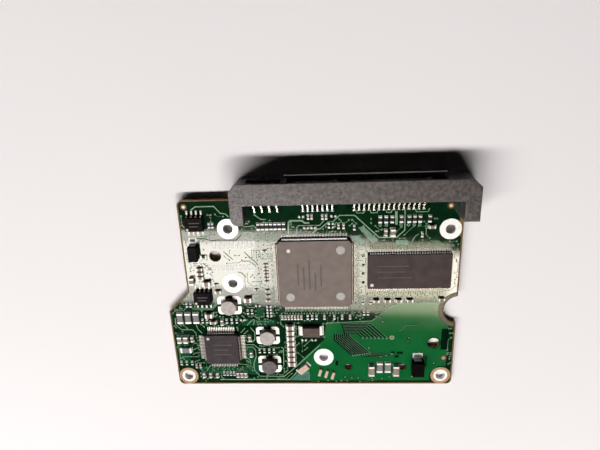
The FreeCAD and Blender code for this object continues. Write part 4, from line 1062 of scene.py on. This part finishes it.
    def grooves(self) -> list[list[Point]]:
        """Gives the dark grooves in the copper round the contact pads."""
        return [[(4.8, 44.3), (9.4, 44.2), (11.5, 43.5), (12.6, 43.7), (18.0, 43.6), (19.5, 45.0)],
                [(14.7, 39.9), (16.4, 38.1)], [(19.9, 40.1), (23.4, 36.2)], [(21.5, 37.1), (22.8, 35.9)],
                [(19.1, 37.4), (21.3, 37.4)], [(8.3, 37.0), (10.3, 34.9)],
                [(17.7, 34.2), (18.8, 33.8), (19.8, 32.6)]]

    def buses(self) -> list[tuple[int, list[Point], list[Point]]]:
        """Gives groups of even tracks, as their number and the first and last one's points."""
        return [(7, [(45.7, 17.5), (53.9, 17.5), (58.6, 12.6)], [(46.5, 14.5), (50.3, 14.5), (51.9, 12.8)]),
                (8, [(43.9, 14.3), (43.9, 12.2), (49.0, 6.9)], [(47.9, 14.2), (48.0, 13.4), (53.8, 7.6)]),
                (3, [(51.4, 6.9), (57.0, 6.5)], [(53.8, 7.7), (60.2, 7.4)])]

    def dot_fields(self) -> list[tuple[Point, Point, int]]:
        """Gives the fields of close plated holes, as two corners and a number."""
        return [((19.0, 43.8), (28.5, 48.4), 90), ((23.4, 28.0), (28.8, 43.6), 120),
                ((46.9, 19.0), (51.6, 43.4), 130), ((51.0, 24.4), (75.0, 28.0), 90),
                ((52.0, 40.4), (72.0, 43.4), 60), ((4.6, 27.5), (11.0, 43.0), 70),
                ((11.0, 17.4), (28.0, 22.4), 60), ((29.0, 44.8), (46.0, 47.6), 60)]

    def build(self) -> list[bpy.types.Object]:
        """Builds the pours, the tracks and the plated holes.

        Returns:
            The pieces.
        """
        self.start()
        pieces = self.pours()
        for width, path in self.routes():
            self.route(path, width, self.pale)
        self.route([(3.7, 22.8), (9.3, 22.7), (10.6, 24.0), (10.8, 26.2)], self.broad_width, self.tracks)
        for path in self.grooves():
            self.gaps.strip(path, self.groove_width, self.gap_layer)
        for count, first, last in self.buses():
            self.bus(count, first, last)
        self.tail_ties()
        for chip, lengths in zip(CHIPS, ((0.75, 1.2, 1.65, 1.0), (0.9, 1.7, 1.3), (1.1, 1.7, 1.4))):
            self.fan_out(chip, lengths)
        for low, high, count in self.dot_fields():
            self.dots(low, high, count)
        self.fill()
        self.pour_marks()
        return [*pieces, self.tracks.piece("copper_tracks", Palette.TRACK),
                self.pale.piece("pale_tracks", Palette.PALE_TRACK),
                self.gaps.piece("gaps_in_pour", Palette.GAP_AND_SHADE),
                self.vias.piece("plated_hole_rings", Palette.PALE_TRACK),
                self.bores.piece("plated_hole_bores", Palette.BORE)]

    def pours(self) -> list[bpy.types.Object]:
        """Lays the broad pours, and keeps later tracks off the bright one.

        Returns:
            The pour pieces.
        """
        bright, dim, teal = (Form() for _ in range(3))
        layer, outline = self.face.layer(self.pour_height), self.bright_outline()
        holes = [circle(centre, radius, self.hole_sides) for centre, radius in self.pour_holes()]
        bright.sheet(outline, holes, layer)
        for form, patches in ((dim, self.dim_outlines()), (teal, self.teal_outlines())):
            for patch in patches:
                form.plate(patch, layer)
        columns, rows = ([round(value / self.ground.step) for value in values] for values in zip(*outline))
        for column in range(min(columns) - 1, max(columns) + 2):
            for row in range(min(rows) - 1, max(rows) + 2):
                point = (column * self.ground.step, row * self.ground.step)
                if within(point, outline):
                    self.ground.take_spot(point, 0)
        return [bright.piece("bright_pour", Palette.POUR), dim.piece("dim_pours", Palette.DIM_POUR),
                teal.piece("teal_pours_painted_sheen", Palette.TEAL_POUR_AND_SHEEN)]

    def dots(self, low: Point, high: Point, count: int) -> None:
        """Scatters plated holes over a field where there is room, the same in each run.

        Args:
            low: The field's lower left corner.
            high: Its upper right corner.
            count: Number of places tried.
        """
        draw = random.Random(count)
        for _ in range(count):
            point = (draw.uniform(low[0], high[0]), draw.uniform(low[1], high[1]))
            if self.ground.free(point):
                self.join(point)

    def tail_ties(self) -> None:
        """Ties neighbouring power tails, paints shade on the board under all tails and sets ringed holes."""
        foot, bend, lean = 51.4, 50.5, 0.3
        for start, end in ((49.9, 52.2), (53.5, 55.7), (57.6, 59.3), (65.1, 68.7)):
            path = [(start, foot), (start + lean, bend), (end - lean, bend), (end, foot)]
            self.route(path, self.tie_width, self.pale)
        for x in (56.2, 57.8, 61.6, 63.5, 65.0, 66.4):
            self.via((x, self.ringed_row), self.ringed_via_radii)
        # Dark slabs under the tails are painted shade of the connector housing.
        lower, upper = self.tail_shade_band
        for start, end in ((22.2, 28.6), (35.6, 45.2), (47.6, 68.9)):
            self.gaps.slab((start, lower), (end, upper), self.gap_layer)
        for shift in (0.6 * index for index in range(4)):
            self.route([(69.4 + shift, 42.5), (72.2 + shift, 40.2)], self.slant_width, self.pale)

    def bus(self, count: int, first: list[Point], last: list[Point]) -> None:
        """Lays even tracks between two, with a dark gap beside each and a plated hole at each end.

        Args:
            count: Number of tracks.
            first: The first track's points.
            last: The last track's points.
        """
        for index in range(count):
            path = [between(start, end, index / (count - 1)) for start, end in zip(first, last)]
            self.gaps.strip(path, self.gap_width, self.gap_layer)
            beside = [(x + self.beside_shift[0], y + self.beside_shift[1]) for x, y in path]
            self.pale.strip(beside, self.beside_width, self.track_layer)
            self.via(path[-1])

    def pour_marks(self) -> None:
        """Sets the small marks on the bright pour: its pale rim, a bent track, rings and dark dots."""
        self.pale.strip([*self.bright_outline()[:4], (73.9, 24.1)], self.groove_width, self.track_layer)
        bent = [(62.1, 15.0), (63.0, 15.6), (63.8, 16.8), (67.8, 17.0)]
        self.gaps.strip(bent, self.bent_widths[0], self.gap_layer)
        self.pale.strip(bent, self.bent_widths[1], self.track_layer)
        for point in ((46.7, -0.6), (48.7, -0.8), (50.6, -0.8), (54.6, -1.0), (57.5, -1.1), (59.7, -0.6),
                      (68.0, 7.9), (72.3, 4.2), (56.6, 19.5), (57.4, 18.1), (53.6, 9.4), (64.7, 11.7),
                      (64.9, 12.7)):
            self.gaps.washer(point, self.mark_radii, self.gap_layer, self.mark_sides)
            self.via(point, self.mark_via_radii)
        for y in (38.4, 35.7, 33.2, 30.5):
            self.gaps.disc((51.9, y), self.dark_disc, self.gap_layer, self.disc_sides)
        for low, high in (((44.0, 3.5), (44.8, 5.2)), ((60.0, 7.6), (61.0, 8.3)), ((61.6, 7.4), (63.4, 8.2)),
                          ((61.0, 6.2), (62.2, 7.0)), ((66.0, 6.8), (69.4, 7.3)), ((69.9, 3.2), (70.2, 6.6))):
            self.gaps.slab(low, high, self.gap_layer)

    def fan_out(self, chip: str, lengths: tuple[float, ...]) -> None:
        """Runs a short track from each of a chip's leads to a plated hole, where there is room.

        Args:
            chip: The chip's name.
            lengths: The tracks' lengths, in turn.
        """
        body = node_block(f"{chip}_body")
        for index, lead in enumerate(sorted(solids_of(f"{chip}_leads"), key=lambda block: block.middle)):
            side = body.side_of(lead)
            goal = side.beyond(lead, lengths[index % len(lengths)], 0.0)
            if self.ground.free(goal):
                form = self.tracks if index % 3 else self.pale
                form.strip([side.beyond(lead, self.fan_from, 0.0), goal], self.fan_width, self.track_layer)
                if index % 2 == 0:
                    self.via(goal, self.fan_radii)


@dataclass
class UndersideCopper(CopperLayer):
    """The copper of the underside: rings round the screw holes, tracks and the plated holes' other ends."""

    face: Face = Face.UNDER
    seed: int = 11
    tries: int = 700
    ring_radii: Point = (1.42, 2.7)
    ring_sides: int = 40

    def build(self) -> list[bpy.types.Object]:
        """Builds the rings, the tracks and the plated holes.

        Returns:
            The pieces.
        """
        self.start()
        rings = Form()
        for centre in SCREW_HOLES:
            rings.washer(centre, self.ring_radii, self.face.layer(self.via_height), self.ring_sides)
        for point in self.plated:
            self.via(point)
        self.plated = []
        self.fill()
        return [rings.piece("underside_screw_rings", Palette.TIN),
                self.tracks.piece("underside_tracks", Palette.TRACK),
                self.pale.piece("underside_pale_tracks", Palette.PALE_TRACK),
                self.vias.piece("underside_hole_rings", Palette.PALE_TRACK),
                self.bores.piece("underside_hole_bores", Palette.BORE)]


@dataclass(frozen=True)
class Land:
    """A land's reach beyond a foot's tip, its margin and run back beside the foot, and its fillet's rise."""

    reach: float
    margin: float
    back: float
    rise: float


@dataclass
class SolderJoints:
    """The tinned lands round leads and chip ends, and the solder that climbs them."""

    land_height: float = 0.04
    shoulder: Point = (0.34, 0.15)
    shoulder_inset: float = 1.4
    fillet_shares: Spot = (0.85, 0.4, 0.28)
    chip_kinds: tuple[str, ...] = ("column_capacitor", "sense_resistor", "chip_capacitor", "small_resistor",
                                   "small_capacitor")
    chip_land: Land = Land(0.3, 0.06, 0.2, 0.6)
    large_chip_land: Land = Land(0.5, 0.1, 0.3, 0.2)
    lead_lands: tuple[Land, ...] = (Land(0.4, 0.03, 0.4, 0.1), Land(0.3, 0.03, 0.4, 0.1),
                                    Land(0.75, 0.03, 0.4, 0.1), Land(0.5, 0.03, 0.5, 0.1),
                                    Land(0.5, 0.03, 0.5, 0.1))
    fine_chips: tuple[str, ...] = ("controller", "motor_driver")
    diode_land: Land = Land(0.5, 0.3, 0.7, 0.5)
    upper_diode_land: Land = Land(0.9, 0.3, 0.7, 0.5)
    tail_land: Land = Land(0.16, 0.01, 0.5, 0.1)

    def build(self) -> list[bpy.types.Object]:
        """Builds the lands and the fillets of all parts.

        Returns:
            The pieces.
        """
        self.lands, self.fine_lands, self.fillets, self.shoulders = (Form() for _ in range(4))
        for kind in self.chip_kinds:
            self.chip_ends(kind)
        self.feet("filter_capacitor", "ends", self.large_chip_land, self.lands)
        for chip, land in zip(CHIPS, self.lead_lands):
            self.feet(chip, "leads", land, self.fine_lands if chip in self.fine_chips else self.lands)
        for diode in ("rectifier", "clamp_diode"):
            self.feet(diode, "terminals", self.diode_land, self.lands)
        for contacts in ("signal_contacts", "power_contacts", "jumper_pins"):
            for tail in solids_of(contacts):
                self.joint(tail, Side.LOWER, self.tail_land, self.fine_lands)
        self.lead_shoulders()
        return [self.lands.piece("solder_lands", Palette.TIN),
                self.fine_lands.piece("fine_solder_lands", Palette.FINE_LAND),
                self.fillets.piece("solder_fillets", Palette.SOLDER),
                self.shoulders.piece("lead_shoulders", Palette.SHOULDER)]

    def lead_shoulders(self) -> None:
        """Sets bright shoulders beside the two large chips, where their leads face the connector."""
        controller, memory = node_block("controller_body"), node_block("memory_body")
        top = max(lead.high[2] for lead in solids_of("controller_leads"))
        spans = [(controller.low[0] + self.shoulder_inset, controller.high[0] - self.shoulder_inset,
                  controller.high[1], top)]
        for lead in solids_of("memory_leads"):
            if memory.side_of(lead) is Side.UPPER:
                spans.append((lead.low[0], lead.high[0], memory.high[1], lead.high[2]))
        out, rise = self.shoulder
        for start, end, wall, foot in spans:
            self.shoulders.loft([[(x, wall, foot), (x, wall + out, foot), (x, wall, foot + rise)]
                                 for x in (start, end)])

    def joint(self, block: Block, side: Side, land: Land, lands: Form) -> None:
        """Lays a land round a foot, open at the back, and a fillet that climbs its tip.

        Args:
            block: The foot's box.
            side: The side that its tip faces.
            land: The sizes of the land and the fillet.
            lands: The form that takes the land.
        """
        half, reach, back = side.breadth(block) / 2.0, land.reach, land.back
        wide = half + land.margin
        outline = [(-back, wide), (reach, wide), (reach, -wide), (-back, -wide),
                   (-back, -half), (0.0, -half), (0.0, half), (-back, half)]
        lands.plate([side.beyond(block, *point) for point in outline], Face.TOP.layer(self.land_height))
        foot = BOARD_TOP + self.land_height
        tip, bend, bend_rise = self.fillet_shares
        profile = [(0.0, foot), (reach * tip, foot), (reach * bend, foot + land.rise * bend_rise),
                   (0.0, foot + land.rise)]
        self.fillets.sweep(profile, block, side, 2.0 * half)

    def chip_ends(self, kind: str) -> None:
        """Solders both ends of each chip of a kind, where the fillet climbs a share of the end's height.

        Args:
            kind: The kind's name.
        """
        land, bodies = self.chip_land, solids_of(f"{kind}_bodies")
        for end in solids_of(f"{kind}_ends"):
            body = min(bodies, key=lambda block: math.dist(block.middle, end.middle))
            rise = (end.high[2] - end.low[2]) * land.rise
            self.joint(end, body.side_of(end), Land(land.reach, land.margin, land.back, rise), self.lands)

    def feet(self, part: str, kind: str, land: Land, lands: Form) -> None:
        """Solders all feet of one part.

        Args:
            part: The part's name.
            kind: What its feet are called.
            land: The sizes of their lands. Diodes have longer ones on their upper side.
            lands: The form that takes the lands.
        """
        body = node_block(f"{part}_body")
        for foot in solids_of(f"{part}_{kind}"):
            side = body.side_of(foot)
            longer = land is self.diode_land and side is Side.UPPER
            self.joint(foot, side, self.upper_diode_land if longer else land, lands)


@dataclass
class PackageMarks:
    """The press marks, dimples and plain bars on the chips' tops."""

    lift: float = 0.012
    press_radii: Point = (1.08, 1.2)
    press_floor: float = 0.5
    press_sides: int = 32
    dimple_share: float = 0.75
    dimple_floor: float = 0.4
    dimple_sides: int = 24
    bar_width: float = 0.4
    bar_share: float = 0.5

    def build(self) -> list[bpy.types.Object]:
        """Builds the marks of all chips."""
        return [self.press_marks(), self.dimples(), self.controller_bars(), self.chip_bars()]

    def spot(self, chip: str, shift: Point) -> tuple[Point, float]:
        """Gives a point on a chip's top, by its shift from the middle, and the top's height."""
        block = node_block(f"{chip}_body")
        return (block.middle[0] + shift[0], block.middle[1] + shift[1]), block.high[2]

    def press_marks(self) -> bpy.types.Object:
        """Sets the three round press marks of the controller, each with a raised rim.

        Returns:
            The piece.
        """
        form = Form()
        for shift in ((6.9, 7.1), (-6.9, -6.7), (6.8, -6.6)):
            centre, top = self.spot("controller", shift)
            floor = (top, top + self.lift * self.press_floor)
            form.disc(centre, self.press_radii[0], floor, self.press_sides)
            form.washer(centre, self.press_radii, (top, top + self.lift), self.press_sides)
        return form.piece("controller_press_marks", Palette.PRESS_MARK)

    def dimples(self) -> bpy.types.Object:
        """Sets the dimple at the first lead of each chip, in a pale colour that is a painted highlight.

        Returns:
            The piece.
        """
        form = Form()
        shifts = ((-6.9, 7.1), (-10.0, -3.9), (-3.7, 3.7), (-1.8, -1.3), (-1.8, -1.3))
        for chip, shift, radius in zip(CHIPS, shifts, (0.55, 0.5, 0.45, 0.35, 0.35)):
            centre, top = self.spot(chip, shift)
            inner = radius * self.dimple_share
            form.washer(centre, (inner, radius), (top, top + self.lift), self.dimple_sides)
            form.disc(centre, inner, (top, top + self.lift * self.dimple_floor), self.dimple_sides)
        return form.piece("chip_dimples_painted_highlight", Palette.DIMPLE_PAINTED_HIGHLIGHT)

    def controller_bars(self) -> bpy.types.Object:
        """Sets plain upright bars on the controller, where such a chip is printed.

        Returns:
            The piece.
        """
        form, first, pitch = Form(), -4.6, 1.55
        spans = ((-3.0, 3.4), (-4.6, 2.2), (-4.6, 4.4), (-4.6, 0.6), (-3.4, 2.8))
        for column, (start, end) in enumerate(spans):
            shift = (first + pitch * column, (start + end) / 2.0)
            self.bar(form, "controller", shift, (self.bar_width, end - start))
        return form.piece("controller_print_bars", Palette.PRINT)

    def chip_bars(self) -> bpy.types.Object:
        """Sets faint plain bars on the other chips, each by its middle's shift and its length.

        Returns:
            The piece.
        """
        form = Form()
        small = ((0.2, 0.5, 2.9), (0.0, -0.4, 2.3))
        rows = ((0.4, ((-4.4, 1.7, 8.2), (-4.9, 0.0, 7.2), (-3.9, -1.7, 9.2))),
                (0.36, ((0.3, 1.6, 5.6), (-0.3, 0.0, 4.4), (0.1, -1.6, 5.2))), (0.3, small), (0.3, small))
        for chip, (width, bars) in zip(CHIPS[1:], rows):
            for x, y, length in bars:
                self.bar(form, chip, (x, y), (length, width))
        return form.piece("chip_print_bars", Palette.FAINT_PRINT)

    def bar(self, form: Form, chip: str, shift: Point, size: Point) -> None:
        """Lays one bar on a chip's top.

        Args:
            form: The form to add it to.
            chip: The chip's name.
            shift: The bar's place from the chip's middle.
            size: Its size along X and Y.
        """
        centre, top = self.spot(chip, shift)
        low, high = (tuple(c + sign * s / 2.0 for c, s in zip(centre, size)) for sign in (-1, 1))
        form.slab(low, high, (top, top + self.lift * self.bar_share))


@dataclass
class BoardTrim:
    """Openings in the lacquer, borders and bare patches of the board."""

    skin: float = 0.022
    border: float = 0.4
    barrel_radii: Point = (1.30, 1.35)
    barrel_rise: float = 0.05
    opening_radii: Point = (0.6, 0.95)
    crown: Point = (0.36, 0.04)
    crowns_above: float = 30.0
    notch_radii: Point = (5.6, 4.38)
    notch_angles: tuple[int, int] = (100, 256)
    ring_height: float = 0.04
    ring_bore: float = 0.45
    ring_sides: int = 24
    barrel_sides: int = 48
    opening_sides: int = 32
    border_share: float = 0.5
    corner_share: float = 0.6
    notch_share: float = 0.7
    patch_extra: float = 0.004

    def build(self) -> list[bpy.types.Object]:
        """Builds the borders, the openings, the bare patch, the ring pads, the barrels and the crowns.

        Returns:
            The pieces.
        """
        border, olive, openings, patch, rings, barrels, crowns = (Form() for _ in range(7))
        layer, outline = Face.TOP.layer, board_outline()
        for centre in SCREW_HOLES:
            barrels.washer(centre, self.barrel_radii, (0.0, BOARD_TOP + self.barrel_rise), self.barrel_sides)
        border.band(outline, inset(outline, self.border), layer(self.skin * self.border_share))
        border.slab((76.5, 43.6), (77.5, 49.0), layer(self.skin * self.corner_share))
        for dot in solids_of("fiducial_dots"):
            openings.washer(dot.middle, self.opening_radii, layer(self.skin), self.opening_sides)
            if dot.middle[1] > self.crowns_above:
                crowns.dome(dot.middle, self.crown[0], dot.high[2], self.crown[1])
        start, end = self.notch_angles
        outer, inner = self.notch_radii
        edge = arc(EDGE_NOTCH, outer, start, end) + arc(EDGE_NOTCH, inner, end, start)
        olive.plate(edge, layer(self.skin * self.notch_share))
        patch.slab((73.9, 8.8), (75.9, 15.7), layer(self.skin + self.patch_extra))
        for centre, radius in (((60.1, 12.9), 0.65), ((72.0, 22.1), 0.58)):
            rings.washer(centre, (radius * self.ring_bore, radius), layer(self.ring_height), self.ring_sides)
        return [border.piece("bare_border", Palette.BARE_EDGE), olive.piece("notch_border", Palette.OLIVE),
                openings.piece("lacquer_openings", Palette.OPENING), patch.piece("bare_patch", Palette.GAP_AND_SHADE),
                rings.piece("ring_pads", Palette.RING), barrels.piece("screw_hole_barrels", Palette.BARREL),
                crowns.piece("dot_crowns", Palette.DOT, smooth=True)]


@dataclass
class ConnectorTrim:
    """The glossy moulded edge along the front of the connector's lower lip."""

    span: Point = (31.6, 72.9)
    front: float = 60.9
    depth: float = 0.28
    slope: float = 0.36
    foot: float = -0.02
    brim: float = 0.01

    def build(self) -> list[bpy.types.Object]:
        """Builds the edge as a low wedge that leans to the front.

        Returns:
            The piece.
        """
        form, rear = Form(), self.front - self.depth
        section = [(self.front, self.foot), (self.front, self.brim),
                   (rear, self.brim + self.depth * self.slope), (rear, self.foot)]
        form.loft([[(x, y, z) for y, z in section] for x in self.span])
        return [form.piece("lip_edge", Palette.GLOSSY_LIP)]


@dataclass
class InductorTrim:
    """Turns of wire round the inductors' posts."""

    names: tuple[str, ...] = ("upper", "middle", "lower")
    turns: int = 5
    sides: int = 40
    wire_sides: int = 6
    wire_share: float = 0.46

    def build(self) -> list[bpy.types.Object]:
        """Builds each turn as a closed hoop of round wire.

        Returns:
            The piece.
        """
        form = Form()
        angles = [2.0 * math.pi * step / self.wire_sides for step in range(self.wire_sides)]
        for winding in (node_block(f"{name}_inductor_winding") for name in self.names):
            pitch = (winding.high[2] - winding.low[2]) / self.turns
            wire = pitch * self.wire_share
            for turn in range(self.turns):
                middle = winding.low[2] + pitch * (turn + 0.5)
                form.wrap([[(x, y, middle + wire * math.sin(angle)) for x, y in
                            circle(winding.middle, winding.half[0] + wire * math.cos(angle), self.sides)]
                           for angle in angles], closed=True)
        return [form.piece("winding_turns", Palette.WIRE, smooth=True)]


@dataclass(frozen=True)
class GlossPanel:
    """A lamp that only the lacquer's gloss mirrors, with a fringe that rises beyond it."""

    name: str
    middle: Point
    size: Point
    rise: float
    radiance: float
    colour: Colour


@dataclass
class Studio:
    """A pale floor that curves up into a backdrop, soft panels and the camera."""

    camera_place: Spot = (42.93, 90.98, 119.89)
    camera_turn: Spot = (-0.350907, 0.055957, -0.030669)
    lens: float = 28.96
    sensor: float = 36.0
    nearest: float = 5.0
    floor_middle: Point = (40.0, 30.0)
    floor_half: float = 640.0
    floor_sides: int = 48
    floor_from: float = -2.9
    floor_slope: float = 1.0 / 58.05
    floor_gap: float = 0.02
    cove: float = 300.0
    wall: float = 1.6
    floor_colour: Colour = (0.92, 0.865, 0.86)
    floor_shade: float = 0.985
    floor_patch: float = 60.0
    floor_roughness: float = 0.9
    backdrop_colour: Colour = (1.0, 0.955, 0.95)
    backdrop_level: float = 0.82
    backdrop_span: Point = (170.0, 400.0)
    world_colour: Colour = (1.0, 0.98, 0.97)
    world_level: float = 0.001
    gloss_height: float = 540.0
    gloss_turn: float = -2.5
    gloss_soft: float = 9.5
    gloss_lift: float = 9.5
    gloss_panels: tuple[GlossPanel, ...] = (
        GlossPanel("far_left", (-150.0, -214.7), (160.0, 90.5), 11.0, 22.5, (1.0, 0.945, 0.85)),
        GlossPanel("left", (-25.0, -220.5), (90.0, 97.0), 10.0, 17.2, (1.0, 0.94, 0.84)),
        GlossPanel("middle", (60.0, -229.0), (80.0, 96.0), 6.0, 17.4, (1.0, 0.92, 0.78)),
        GlossPanel("right", (160.0, -236.0), (120.0, 96.0), 4.0, 14.8, (1.0, 0.89, 0.68)),
        GlossPanel("far_right", (233.0, -247.0), (26.0, 94.0), 0.0, 26.0, (1.0, 0.92, 0.80)),
        GlossPanel("sheen", (-180.0, -46.0), (200.0, 60.0), 0.0, 19.0, (0.98, 0.92, 1.0)))

    def build(self) -> list[bpy.types.Object]:
        """Builds the floor, the lamps, the world and the camera.

        Returns:
            The floor.
        """
        scene = bpy.context.scene
        scene.view_settings.view_transform = "Standard"
        for panel in self.gloss_panels:
            for layer, sign in (("core", -1.0), ("fringe", 1.0)):
                self.hang(panel, layer, sign)
        self.lamp("rim_panel", (88.0, 279.0, 449.0), (88.0, 60.0, 0.0), (260.0, 60.0), 1.7, True)
        self.lamp("low_back_panel", (43.0, 800.0, 62.0), (43.0, 60.0, 2.0), (600.0, 40.0), 0.7, False)
        self.lamp("slanted_panel", (-390.0, -490.0, 658.0), (-390.0, 30.0, 0.0), (1640.0, 110.0), 27.0, False)
        self.world()
        self.camera()
        return [self.floor()]

    def floor(self) -> bpy.types.Object:
        """Lays the floor just under the connector and the board's lower edge.

        Returns:
            The floor.
        """
        bends = [math.radians(angle) for angle in range(0, 91, 15)]
        rings = [(self.floor_half + self.cove * math.sin(bend), self.cove * (1.0 - math.cos(bend)))
                 for bend in bends]
        rings.append((rings[-1][0], self.cove * self.wall))
        form = Form()
        form.wrap([[(x, y, lift - (y - self.floor_from) * self.floor_slope - self.floor_gap)
                    for x, y in circle(self.floor_middle, radius, self.floor_sides)]
                   for radius, lift in rings])
        form.faces.append(tuple(range(self.floor_sides)))
        floor = form.thing("floor", self.floor_material())
        return floor

    def floor_material(self) -> bpy.types.Material:
        """Makes the floor's finish, which turns into a plain pale backdrop far from the board.

        Returns:
            The material.
        """
        tree = ShaderTree("pale_floor")
        patches = tree.spread(tree.noise(self.floor_patch, 3.0), NOISE_RANGE)
        shade = tuple(value * self.floor_shade for value in self.floor_colour)
        tree.feed(tree.shader.inputs["Base Color"], tree.mix(patches, self.floor_colour, shade))
        tree.feed(tree.shader.inputs["Roughness"], self.floor_roughness)
        tree.feed(tree.shader.inputs["Specular IOR Level"], 0.0)
        light = {"Color": self.backdrop_colour, "Strength": self.backdrop_level}
        glow = tree.node("Emission", "Emission", light)
        clear = tree.node("BsdfTransparent", "BSDF", {})
        rays = tree.nodes.new("ShaderNodeLightPath").outputs
        kinds = {0: rays["Is Camera Ray"], 1: rays["Is Transmission Ray"]}
        seen = tree.node("Math", "Value", kinds, use_clamp=True)
        middle = Vector((*self.floor_middle, 0.0)) * MM
        away = tree.node("VectorMath", "Value", {0: tree.place, 1: middle}, operation="DISTANCE")
        far = tree.spread(away, tuple(end * MM for end in self.backdrop_span))
        backdrop = tree.blend(seen, clear, glow)
        tree.feed(tree.output, tree.blend(far, tree.shader.outputs["BSDF"], backdrop))
        return tree.material

    def hang(self, panel: GlossPanel, layer: str, sign: float) -> None:
        """Hangs the core or the fringe of a gloss panel, each with half of its radiance.

        Args:
            panel: The panel.
            layer: What the lamp is called.
            sign: -1 for the core, which is smaller and hangs lower, and 1 for the larger and higher fringe.
        """
        grown, rise = sign * self.gloss_soft, max(0.0, sign) * panel.rise
        spot = (panel.middle[0], panel.middle[1] - sign * self.gloss_lift + rise / 2.0)
        lamp = self.lamp(f"{panel.name}_{layer}_panel", (*spot, self.gloss_height + grown), (*spot, 0.0),
                         (panel.size[0], panel.size[1] + 2.0 * grown + rise), panel.radiance / 2.0, True)
        lamp.rotation_euler = (0.0, 0.0, math.radians(self.gloss_turn))
        lamp.data.color = panel.colour

    def lamp(self, name: str, place: Spot, aim: Spot, size: Point, radiance: float,
             gloss: bool) -> bpy.types.Object:
        """Hangs one soft panel.

        Args:
            name: The lamp's name.
            place: Its middle.
            aim: The point that it faces.
            size: Its width and height.
            radiance: How bright its face is.
            gloss: True if only gloss shows it, False if it only lights.

        Returns:
            The lamp.
        """
        data = bpy.data.lights.new(name, "AREA")
        data.shape = "RECTANGLE"
        data.size, data.size_y = size[0] * MM, size[1] * MM
        data.energy = radiance * math.pi * data.size * data.size_y
        lamp = bpy.data.objects.new(name, data)
        lamp.location = [value * MM for value in place]
        lamp.visible_camera = False
        lamp.visible_diffuse = not gloss
        lamp.visible_glossy = gloss
        lamp.rotation_euler = (Vector(aim) - Vector(place)).to_track_quat("-Z", "Y").to_euler()
        bpy.context.scene.collection.objects.link(lamp)
        return lamp

    def world(self) -> None:
        """Lights the shadows a little from all round."""
        world = bpy.data.worlds.new("studio")
        world.use_nodes = True
        ground = world.node_tree.nodes["Background"]
        ground.inputs["Color"].default_value = (*self.world_colour, 1.0)
        ground.inputs["Strength"].default_value = self.world_level
        bpy.context.scene.world = world

    def camera(self) -> None:
        """Sets the camera where the photograph was taken from."""
        data = bpy.data.cameras.new("camera")
        data.lens = self.lens
        data.sensor_width = self.sensor
        data.clip_start = self.nearest * MM
        camera = bpy.data.objects.new("camera", data)
        turn = Vector(self.camera_turn)
        camera.rotation_mode = "QUATERNION"
        camera.rotation_quaternion = Quaternion(turn.normalized(), turn.length)
        camera.location = [value * MM for value in self.camera_place]
        bpy.context.scene.collection.objects.link(camera)
        bpy.context.scene.camera = camera


def main() -> None:
    """Builds the sub-assemblies in order and reports each piece."""
    logging.basicConfig(level=logging.INFO, format="%(message)s")
    plated: list[Point] = []
    for assembly in (PartDressing(), TopCopper(plated), UndersideCopper(plated), SolderJoints(),
                     PackageMarks(), BoardTrim(), ConnectorTrim(), InductorTrim(), Studio()):
        for piece in assembly.build():
            LOG.info("%s: %s, %d faces", type(assembly).__name__, piece.name, len(piece.data.polygons))


if __name__ == "__main__":
    main()
